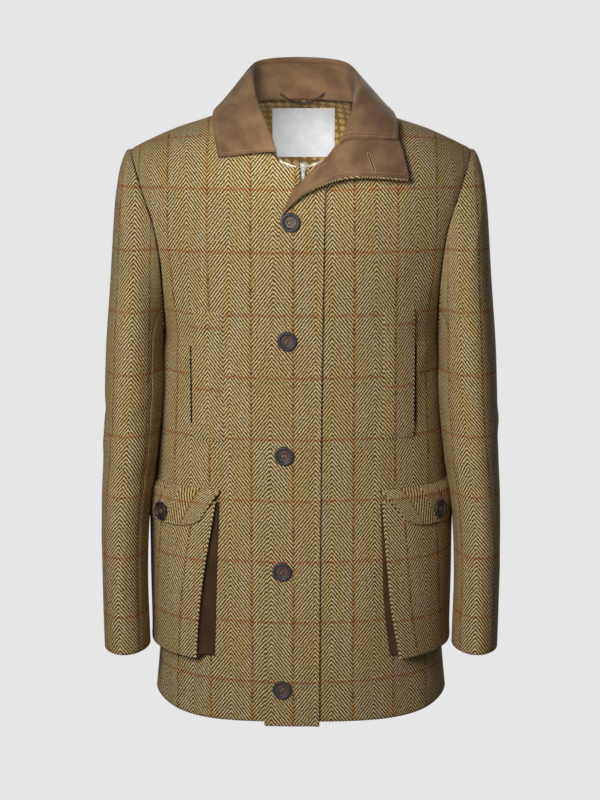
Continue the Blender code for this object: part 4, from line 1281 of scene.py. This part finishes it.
# How far the holes are from the middle, and from its two centre lines
HOLE_REACH = 0.0027
HOLE_SIDE = HOLE_REACH / math.sqrt(2)
# Threads between the holes: their level as a share of the depth, and the distance between strands
STRAND_LEVEL = 0.53
STRAND_PITCH = 0.00045
BUTTON_TURNS = {"front_button_1": 20, "front_button_2": 52, "front_button_3": 8, "front_button_4": 70,
                "front_button_5": 33, "right_flap_button": 47, "left_flap_button": 15}


def button_points():
    """Rings of points over the face, the rim and the back, with four holes sunk in the dish."""
    dish = np.linspace(0.01, DISH_SHARE, DISH_RINGS)
    rim_share, rim_height = np.array(BUTTON_RIM).T
    share = np.concatenate((dish, rim_share))
    height = np.concatenate((DISH_HEIGHT + DISH_GAIN * dish ** 2, rim_height))
    angle = np.arange(BUTTON_STEPS) * math.tau / BUTTON_STEPS
    x = share[:, None] * np.cos(angle) * BUTTON_RADIUS
    y = share[:, None] * np.sin(angle) * BUTTON_RADIUS
    z = height[:, None] * BUTTON_DEPTH + np.zeros_like(x)
    away = np.hypot(np.abs(x) - HOLE_SIDE, np.abs(y) - HOLE_SIDE)[:DISH_RINGS]
    z[:DISH_RINGS] -= HOLE_DEPTH * smooth((HOLE_RADIUS - away) / HOLE_EDGE + 0.5)
    return stack(x, y, z)


def make_button(node, seat, out):
    points = button_points()
    faces = tube_faces(1, len(points), BUTTON_STEPS)
    button = add_mesh(f"{node}_turned", points.reshape(-1, 3), faces, materials=[horn])
    turn = Quaternion((0, 0, 1), math.radians(BUTTON_TURNS[node]))
    button.rotation_mode = "QUATERNION"
    button.rotation_quaternion = Vector(out).to_track_quat("Z", "Y") @ turn
    button.location = Vector(seat)
    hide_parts(node)
    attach(button, "coat")
    return Vector(seat), button.rotation_quaternion


def button_threads(seat, rotation):
    """Two bars of three threads, each from one hole to the next."""
    out = rotation @ Vector((0, 0, 1))
    bars = []
    for side in (-1, 1):
        for strand in (-1, 0, 1):
            x = side * HOLE_SIDE + strand * STRAND_PITCH
            places = [Vector((x, end * HOLE_SIDE, STRAND_LEVEL * BUTTON_DEPTH)) for end in (-1, 0, 1)]
            bars.append((np.array([seat + rotation @ place for place in places]), np.array([out] * 3)))
    return bars


def make_buttons():
    bars = []
    columns = BUTTONS[0]
    count = len(columns["height"])
    for i, (z, x) in enumerate(zip(columns["height"], columns["x"])):
        seat = body_place(x, z, PLACKET_LIFT + LIE / 2)
        bars += button_threads(*make_button(f"front_button_{count - i}", seat, body_normal(x, z)))
    for side, spec in SIDES.items():
        z = spec["button_z"]
        turn = turn_at(spec["button_x"], z)
        over = patch_lift(turn, z, pocket_edge(spec, "patch_edge", z)) + FLAP_LIE + LIE + WALL
        seat = around_place(turn, z, over, spec["sign"])
        out = around_place(turn, z, over + LIE, spec["sign"]) - seat
        bars += button_threads(*make_button(f"{side}_flap_button", seat, out))
    sew("button_threads", bars, button_thread, "horn", HOLE_REACH * 1.5, HOLE_REACH)


# Zip

SLIDER_SIZE = (0.0084, 0.0042, 0.0105)
SLIDER_Z = -0.0665
SLIDER_PLATE = 0.0011
SLIDER_BEVEL = 0.00035
PULL_SIZE = (0.0048, 0.0012, 0.0135)
PULL_BAR = 0.0011
PULL_BEVEL = 0.00030
PULL_TOP = 0.0008
PULL_CLEAR = 0.0013
TAPE_X = (0.0012, 0.0160)
TAPE_HEM_RISE = 0.030
TAPE_TOP_DROP = 0.002
TOOTH_PITCH = 0.0028
TOOTH_SIZE = (0.0030, 0.0019, 0.0013)
TOOTH_ASIDE = 0.0008
NECK_TEETH_TURNS = (6.0, 24.0)
NECK_TEETH = 16
NECK_TOOTH_SHARE = 0.55
CUBE = np.array([(x, y, z) for x in (-0.5, 0.5) for y in (-0.5, 0.5) for z in (-0.5, 0.5)])
CUBE_FACES = np.array((
    (0, 1, 3, 2), (4, 6, 7, 5), (0, 4, 5, 1),
    (2, 3, 7, 6), (0, 2, 6, 4), (1, 5, 7, 3),
))


def make_tapes():
    u, v = grid(lines(8), lines(120))
    from_zip = mix(*TAPE_X, u)
    z = mix(PLACKET_HEM_Z + TAPE_HEM_RISE, FRONT_NECK_Z - TAPE_TOP_DROP, v)
    for side, spec in SIDES.items():
        sign = spec["sign"]
        points = body_place(ZIP_X + sign * from_zip, z, -WALL - LIE)
        cloth(f"{side}_zip_tape", points, TAPE_WALL, stack(from_zip, z), tape, flip=sign < 0)


def tooth_corners(place, out, up, share=1.0):
    """Corners of a row of teeth from their places and two directions each."""
    size = CUBE * np.array(TOOTH_SIZE) * share
    directions = (np.cross(out, up), out, up)
    corners = sum(size[:, axis, None] * way[:, None] for axis, way in enumerate(directions))
    return (place[:, None] + corners).reshape(-1, 3)


def make_teeth():
    """Teeth of both tapes: they mesh on the zip's line and part along the neck above it."""
    low = PLACKET_HEM_Z + TAPE_HEM_RISE
    high = SLIDER_Z - SLIDER_SIZE[2] / 2
    turn = np.linspace(*NECK_TEETH_TURNS, NECK_TEETH)
    verts = []
    for sign in (-1, 1):
        z = np.arange(low, high, TOOTH_PITCH) + TOOTH_PITCH * sign / 4
        place = body_place(ZIP_X + sign * TOOTH_ASIDE, z, -WALL - LIE - TAPE_WALL / 2)
        out = body_normal(np.full_like(z, ZIP_X), z)
        verts.append(tooth_corners(place, out, np.cross(out, (1.0, 0.0, 0.0))))
        edge = mirrored(neck_seam(turn), -sign)
        out = body_normal(edge[:, 0], edge[:, 2])
        verts.append(tooth_corners(edge, out, unit(np.gradient(edge, axis=0)), NECK_TOOTH_SHARE))
    verts = np.concatenate(verts)
    first = np.arange(0, len(verts), len(CUBE))
    faces = (first[:, None, None] + CUBE_FACES).reshape(-1, 4)
    add_trim("zip_teeth", verts, faces, zip_metal).data.shade_flat()


def metal_piece(name, node, body, blocks, bevel, place, lean):
    """Metal in place of a CAD node, made of softened blocks, each with a size and a place."""
    bm = bmesh.new()
    for size, middle in blocks:
        made = bmesh.ops.create_cube(bm, size=1.0)["verts"]
        bmesh.ops.scale(bm, vec=size, verts=made)
        bmesh.ops.translate(bm, vec=middle, verts=made)
    bmesh.ops.bevel(bm, geom=bm.edges[:], offset=bevel, segments=3, affect="EDGES")
    mesh = bpy.data.meshes.new(name)
    bm.to_mesh(mesh)
    bm.free()
    mesh.shade_smooth()
    mesh.materials.append(zip_metal)
    piece = bpy.data.objects.new(name, mesh)
    bpy.context.scene.collection.objects.link(piece)
    piece.location = place
    piece.rotation_euler = (-lean, 0, 0)
    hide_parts(node)
    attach(piece, body)


def make_slider():
    """The slider: two plates, each wide above and narrow below, and a bridge; and the pull tab."""
    out = Vector(body_normal(ZIP_X, SLIDER_Z))
    lean = math.atan2(out.z, -out.y)
    width, depth, height = SLIDER_SIZE
    seat = Vector(body_place(ZIP_X, SLIDER_Z, depth / 2 - WALL - LIE + SEAM))
    face = depth / 2 - SLIDER_PLATE / 2
    blocks = [((width * 0.26, depth - SLIDER_PLATE, height * 0.45), (0, 0, height * 0.20))]
    for y in (-face, face):
        blocks.append(((width, SLIDER_PLATE, height * 0.55), (0, y, height * 0.22)))
        blocks.append(((width * 0.78, SLIDER_PLATE, height * 0.55), (0, y, -height * 0.22)))
    metal_piece("zip_slider_cast", "zip_slider", "coat", blocks, SLIDER_BEVEL, seat, lean)
    wide, thick, long = PULL_SIZE
    blocks = [
        ((wide, thick, PULL_BAR), (0, 0, PULL_TOP - PULL_BAR / 2)),
        ((wide, thick, long * 0.53), (0, 0, PULL_TOP - long * 0.735)),
    ]
    for sign in (-1, 1):
        x = sign * (wide - PULL_BAR) / 2
        blocks.append(((PULL_BAR, thick, long * 0.5), (x, 0, PULL_TOP - long * 0.25)))
    place = seat + out * (depth / 2 + PULL_CLEAR)
    metal_piece("zip_pull_tab", "zip_pull", "pull", blocks, PULL_BEVEL, place, lean)


# Hanger chain

CHAIN_RADIUS = 0.0022
CHAIN_HALF_SPAN = 0.030
CHAIN_X = 0.002
CHAIN_TOP_Z = 0.0255
CHAIN_SAG = 0.014
CHAIN_BELLY = 0.004
WIRE_RADIUS = 0.00066
LINK_LENGTH = 0.0072
LINK_STEPS = 28
WIRE_SIDES = 8
LINK_TWIST = 48.0


def chain_route(count):
    share = np.linspace(-1.0, 1.0, count)
    x = CHAIN_X + CHAIN_HALF_SPAN * share
    sag = 1 - share * share
    clear = CHAIN_RADIUS + 2 * SEAM + STAND_OVER + CHAIN_BELLY * sag
    y = body_y(x, back_neck_z(x), False) - WALL - clear
    return stack(x, y, CHAIN_TOP_Z - CHAIN_SAG * sag)


def make_chain():
    """Oval links, each turned against the one before."""
    route = chain_route(400)
    run = arc(route)
    pitch = LINK_LENGTH - 4 * WIRE_RADIUS
    count = round((run[-1] - LINK_LENGTH) / pitch) + 1
    middle = np.linspace(LINK_LENGTH / 2, run[-1] - LINK_LENGTH / 2, count)
    round_link = np.arange(LINK_STEPS) * math.tau / LINK_STEPS
    cosine = np.cos(round_link)[:, None]
    sine = np.sin(round_link)[:, None]
    wire = (np.arange(WIRE_SIDES) * math.tau / WIRE_SIDES)[:, None]
    half_width = CHAIN_RADIUS - WIRE_RADIUS
    straight = LINK_LENGTH / 2 - WIRE_RADIUS - half_width
    verts = []
    for i, at in enumerate(middle):
        behind, centre, ahead = at_run(np.array((at - pitch, at, at + pitch)), run, route)
        tangent = unit(ahead - behind)
        level = unit(np.cross(tangent, (0.0, 0.0, 1.0)))
        upright = np.cross(level, tangent)
        angle = math.radians(LINK_TWIST if i % 2 else LINK_TWIST - 90.0)
        side = level * math.cos(angle) + upright * math.sin(angle)
        away = cosine * tangent + sine * side
        line = centre + half_width * away + straight * np.sign(cosine) * tangent
        ring = away[:, None] * np.cos(wire) + np.cross(tangent, side) * np.sin(wire)
        verts.append((line[:, None] + ring * WIRE_RADIUS).reshape(-1, 3))
    faces = tube_faces(count, LINK_STEPS, WIRE_SIDES, closed=True)
    chain = add_mesh("hanger_chain_links", np.concatenate(verts), faces, materials=[chain_metal])
    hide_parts("hanger_chain")
    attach(chain, "coat")


# Pocket mouths and the lapel's buttonhole, their openings as dark strips of painted shade

# Dark strips of painted shade: where they lie, how far off the cloth, and half their width and height
MOUTH_Z = (-0.399, -0.298)
MOUTH_OUT = 0.0028
MOUTH_LIFT = 0.0005
MOUTH_HALF_SIZE = (0.0008, 0.0007)
SLIT_ENDS = ((0.0850, -0.0490), (0.0930, -0.0715))
SLIT_LIFT = 0.0002
SLIT_HALF_SIZE = (0.0006, 0.0004)
# Stitches round the slit: distance from its line, then length, pitch and thread radius
SLIT_SIDE = 0.0013
SLIT_STITCH = (0.0016, 0.0009, 0.00042)


def on_surface(node, x, z):
    """Points and normals of a piece of cloth at places seen from the front."""
    points, normals = [values.reshape(-1, 3) for values in surfaces[node]]
    away = np.hypot(x[:, None] - points[:, 0], z[:, None] - points[:, 2])
    near = np.argsort(away, axis=1)[:, :4]
    weight = 1 / (np.take_along_axis(away, near, axis=1) + 1e-6)
    weight = (weight / weight.sum(axis=1, keepdims=True))[..., None]
    depth = (points[near] * weight).sum(axis=1)[:, 1]
    return stack(x, depth, z), unit((normals[near] * weight).sum(axis=1))


def strip(name, points, normals, half_size):
    """A closed dark strip of painted shade, with a flat section, along a line on the cloth."""
    half_width, half_height = half_size
    side = unit(np.cross(np.gradient(points, axis=0), normals)) * half_width
    lift = normals * half_height
    ring = np.stack((side + lift, side - lift, -side - lift, lift - side), axis=1)
    verts = (points[:, None] + ring).reshape(-1, 3)
    last = len(verts)
    ends = ((0, 1, 2, 3), (last - 1, last - 2, last - 3, last - 4))
    faces = np.concatenate((tube_faces(1, len(points), 4), ends))
    add_trim(name, verts, faces, painted_shade).data.shade_flat()


def make_mouths():
    """Painted shade: a dark strip where each chest pocket opens beside its welt."""
    z = np.linspace(*MOUTH_Z, 40)
    for side, spec in SIDES.items():
        x = np.full_like(z, spec["sign"] * (spec["welt_x"][1] + MOUTH_OUT))
        points = body_place(x, z, MOUTH_LIFT)
        strip(f"{side}_welt_mouth", points, body_normal(x, z), MOUTH_HALF_SIZE)


def make_buttonhole():
    """A worked hole near the lapel's point: a slit of painted shade, with close stitches round it."""
    first, last = np.array(SLIT_ENDS)
    line = mix(first, last, np.linspace(0, 1, 24)[:, None])
    points, normals = on_surface("lapel_facing", *line.T)
    strip("lapel_slit", points + normals * SLIT_LIFT, normals, SLIT_HALF_SIZE)
    ahead = unit(last - first)
    aside = np.array((-ahead[1], ahead[0]))
    turn = np.linspace(0, math.pi, 9)[:, None]
    round_end = SLIT_SIDE * (aside * np.cos(turn) + ahead * np.sin(turn))
    out = line + aside * SLIT_SIDE
    back = line[::-1] - aside * SLIT_SIDE
    loop = np.concatenate((out, last + round_end, back, first - round_end))
    sew("buttonhole_stitches", [on_surface("lapel_facing", *loop.T)], hole_thread, "suede", *SLIT_STITCH)


# Weave and creases

# Where the weave's lines fall on each side's pieces: distances along the cloth, and degrees round a sleeve
WEAVE = {
    "right": {"front_line": 0.0645, "sleeve_line": 218.7, "welt_line": -0.0081, "welt_level": 0.0181,
              "patch_line": 0.030, "flap_line": 0.030, "flap_level": 0.006},
    "left": {"front_line": 0.0685, "sleeve_line": 230.0, "welt_line": 0.0160, "welt_level": 0.0138,
             "patch_line": 0.030, "flap_line": 0.030, "flap_level": 0.0},
}

# Soft creases, each with its place, slant, length, width and height
FRONT_FOLDS = {
    "right": ((0.164, -0.345, 68, 0.050, 0.011, -0.0016), (0.172, -0.440, 80, 0.060, 0.012, 0.0016),
              (0.084, -0.560, 87, 0.110, 0.020, 0.0013), (0.070, -0.690, 84, 0.070, 0.016, -0.0015),
              (0.150, -0.215, 38, 0.045, 0.012, -0.0015), (0.122, -0.745, 92, 0.045, 0.014, 0.0015),
              (0.160, -0.120, 70, 0.050, 0.016, -0.0014)),
    "left": ((0.160, -0.365, 74, 0.060, 0.012, -0.0018), (0.168, -0.300, 58, 0.040, 0.010, 0.0014),
             (0.078, -0.500, 92, 0.090, 0.018, -0.0013), (0.090, -0.640, 86, 0.100, 0.020, 0.0015),
             (0.148, -0.205, 46, 0.050, 0.013, -0.0017), (0.140, -0.750, 84, 0.040, 0.013, -0.0014),
             (0.166, -0.110, 62, 0.045, 0.015, -0.0012)),
}
BACK_FOLDS = (
    (-0.112, -0.300, 76, 0.090, 0.016, 0.0022), (0.098, -0.345, 101, 0.110, 0.019, -0.0022),
    (-0.150, -0.205, 58, 0.060, 0.013, -0.0020), (0.152, -0.225, 124, 0.055, 0.014, 0.0020),
    (0.012, -0.560, 88, 0.150, 0.024, 0.0022), (0.064, -0.690, 93, 0.090, 0.018, -0.0018),
    (-0.070, -0.705, 86, 0.080, 0.017, 0.0018), (-0.020, -0.055, 4, 0.060, 0.012, -0.0012),
    (0.135, -0.520, 96, 0.100, 0.018, 0.0016), (-0.128, -0.590, 82, 0.070, 0.014, -0.0015),
)
# Across a sleeve a crease's place is in thousands of degrees
SLEEVE_FOLDS = {
    "right": ((0.196, -0.395, 24, 0.050, 0.010, -0.0017), (0.184, -0.432, -14, 0.055, 0.009, 0.0016),
              (0.222, -0.470, 12, 0.046, 0.010, -0.0015), (0.150, -0.530, 34, 0.050, 0.013, 0.0013),
              (0.100, -0.385, -26, 0.056, 0.012, -0.0018), (0.058, -0.440, 11, 0.060, 0.012, 0.0018),
              (0.020, -0.360, 30, 0.050, 0.010, -0.0016), (0.168, -0.645, 72, 0.050, 0.012, 0.0012),
              (0.238, -0.330, 36, 0.040, 0.010, -0.0015), (0.272, -0.370, 90, 0.110, 0.046, 0.0028)),
    "left": ((0.190, -0.410, 18, 0.054, 0.010, -0.0018), (0.206, -0.448, -10, 0.050, 0.010, 0.0015),
             (0.170, -0.485, 26, 0.048, 0.011, -0.0013), (0.140, -0.570, 48, 0.050, 0.013, 0.0012),
             (0.094, -0.400, -20, 0.060, 0.012, 0.0017), (0.050, -0.430, 16, 0.054, 0.011, -0.0017),
             (0.012, -0.370, -24, 0.050, 0.011, 0.0016), (0.160, -0.660, 76, 0.044, 0.012, -0.0011),
             (0.232, -0.345, 30, 0.044, 0.010, -0.0016), (0.272, -0.370, 90, 0.110, 0.046, 0.0028)),
}
PLACKET_FOLDS = ((-0.010, -0.225, 84, 0.045, 0.018, -0.0005), (-0.014, -0.505, 80, 0.060, 0.020, 0.0006),
                 (-0.020, -0.665, 96, 0.055, 0.020, -0.0005))
PATCH_FOLDS = ((0.30, 0.62, 70, 0.30, 0.10, 0.0012), (0.55, 0.45, 110, 0.28, 0.09, -0.0014),
               (0.16, 0.80, 55, 0.20, 0.07, -0.0010))


# The stage, the light and the camera

STAGE_GREY = colour(230, 230, 230)
STAGE_STEPS = 48
FLOOR_Z = -1.9
FLOOR_RADIUS = 6.0
SWEEP_RADIUS = 1.2
SWEEP_STEPS = 12
STAGE_TOP_Z = 6.0
WORLD_GREY = (0.80, 0.80, 0.80, 1.0)
WORLD_STRENGTH = 0.07
# Each lamp: place, target, side of its square, power in watts and spread in degrees
LAMPS = {
    "key_light": ((-0.80, -2.0, 0.50), (0.03, 0.0, -0.42), 0.8, 6.1, 60),
    "fill_light": ((0.9, -2.8, 0.3), (0.0, 0.0, -0.35), 1.2, 2.0, 180),
    "back_light": ((0.6, 2.6, 0.5), (0.0, 0.0, -0.35), 2.0, 50.0, 180),
    "neck_light": ((-0.06, -2.3, 0.40), (0.0, 0.0, -0.01), 0.12, 0.10, 9),
}
CAMERA_PLACE = (-0.0013, -2.6, 0.05)
CAMERA_TILT_DEGREES = 80.5
CAMERA_LENS = 87.6
CAMERA_SENSOR = 36.0


def make_stage():
    """A pale round floor that sweeps up into a wall on every side."""
    section = [(0.01, FLOOR_Z), (FLOOR_RADIUS, FLOOR_Z)]
    for angle in np.linspace(0, math.pi / 2, SWEEP_STEPS + 1)[1:]:
        reach = FLOOR_RADIUS + SWEEP_RADIUS * math.sin(angle)
        section.append((reach, FLOOR_Z + SWEEP_RADIUS * (1 - math.cos(angle))))
    section.append((FLOOR_RADIUS + SWEEP_RADIUS, STAGE_TOP_Z))
    turns = np.arange(STAGE_STEPS) * math.tau / STAGE_STEPS
    verts = [(reach * math.cos(turn), reach * math.sin(turn), z) for reach, z in section for turn in turns]
    faces = tube_faces(1, len(section), STAGE_STEPS)[:, ::-1]
    paper = bpy.data.materials.new("stage_paper")
    paper.use_nodes = True
    nodes = paper.node_tree.nodes
    nodes.remove(nodes["Principled BSDF"])
    glow = nodes.new("ShaderNodeEmission")
    glow.inputs["Color"].default_value = STAGE_GREY
    paper.node_tree.links.new(glow.outputs[0], nodes["Material Output"].inputs["Surface"])
    sweep = add_mesh("stage_sweep", verts, faces, materials=[paper])
    sweep.visible_diffuse = False


def make_light():
    world = bpy.data.worlds.new("studio")
    world.use_nodes = True
    background = world.node_tree.nodes["Background"]
    background.inputs["Color"].default_value = WORLD_GREY
    background.inputs["Strength"].default_value = WORLD_STRENGTH
    scene = bpy.context.scene
    scene.world = world
    scene.view_settings.view_transform = "Standard"
    for name, (place, target, side, power, spread) in LAMPS.items():
        data = bpy.data.lights.new(name, "AREA")
        data.shape = "SQUARE"
        data.size = side
        data.energy = power
        data.spread = math.radians(spread)
        lamp = bpy.data.objects.new(name, data)
        lamp.location = place
        lamp.rotation_euler = (Vector(target) - Vector(place)).to_track_quat("-Z", "Y").to_euler()
        lamp.visible_camera = False
        scene.collection.objects.link(lamp)


def make_camera():
    data = bpy.data.cameras.new("camera")
    data.lens = CAMERA_LENS
    data.sensor_width = CAMERA_SENSOR
    camera = bpy.data.objects.new("camera", data)
    camera.location = CAMERA_PLACE
    camera.rotation_euler = (math.radians(CAMERA_TILT_DEGREES), 0.0, 0.0)
    bpy.context.scene.collection.objects.link(camera)
    bpy.context.scene.camera = camera


def main():
    make_stage()
    make_light()
    make_camera()
    for side, spec in SIDES.items():
        spec.update(WEAVE[side])
        make_front(side, spec, FRONT_FOLDS[side])
    make_back(BACK_FOLDS)
    for side, spec in SIDES.items():
        make_sleeve(side, spec["sign"], spec["sleeve_line"], SLEEVE_FOLDS[side])
        make_welt(side, spec)
        make_pocket(side, spec)
    make_placket(PLACKET_FOLDS)
    make_lapel()
    make_collar()
    make_neck_inside()
    make_sewing()
    make_mouths()
    make_buttonhole()
    make_buttons()
    make_tapes()
    make_teeth()
    make_slider()
    make_chain()


main()
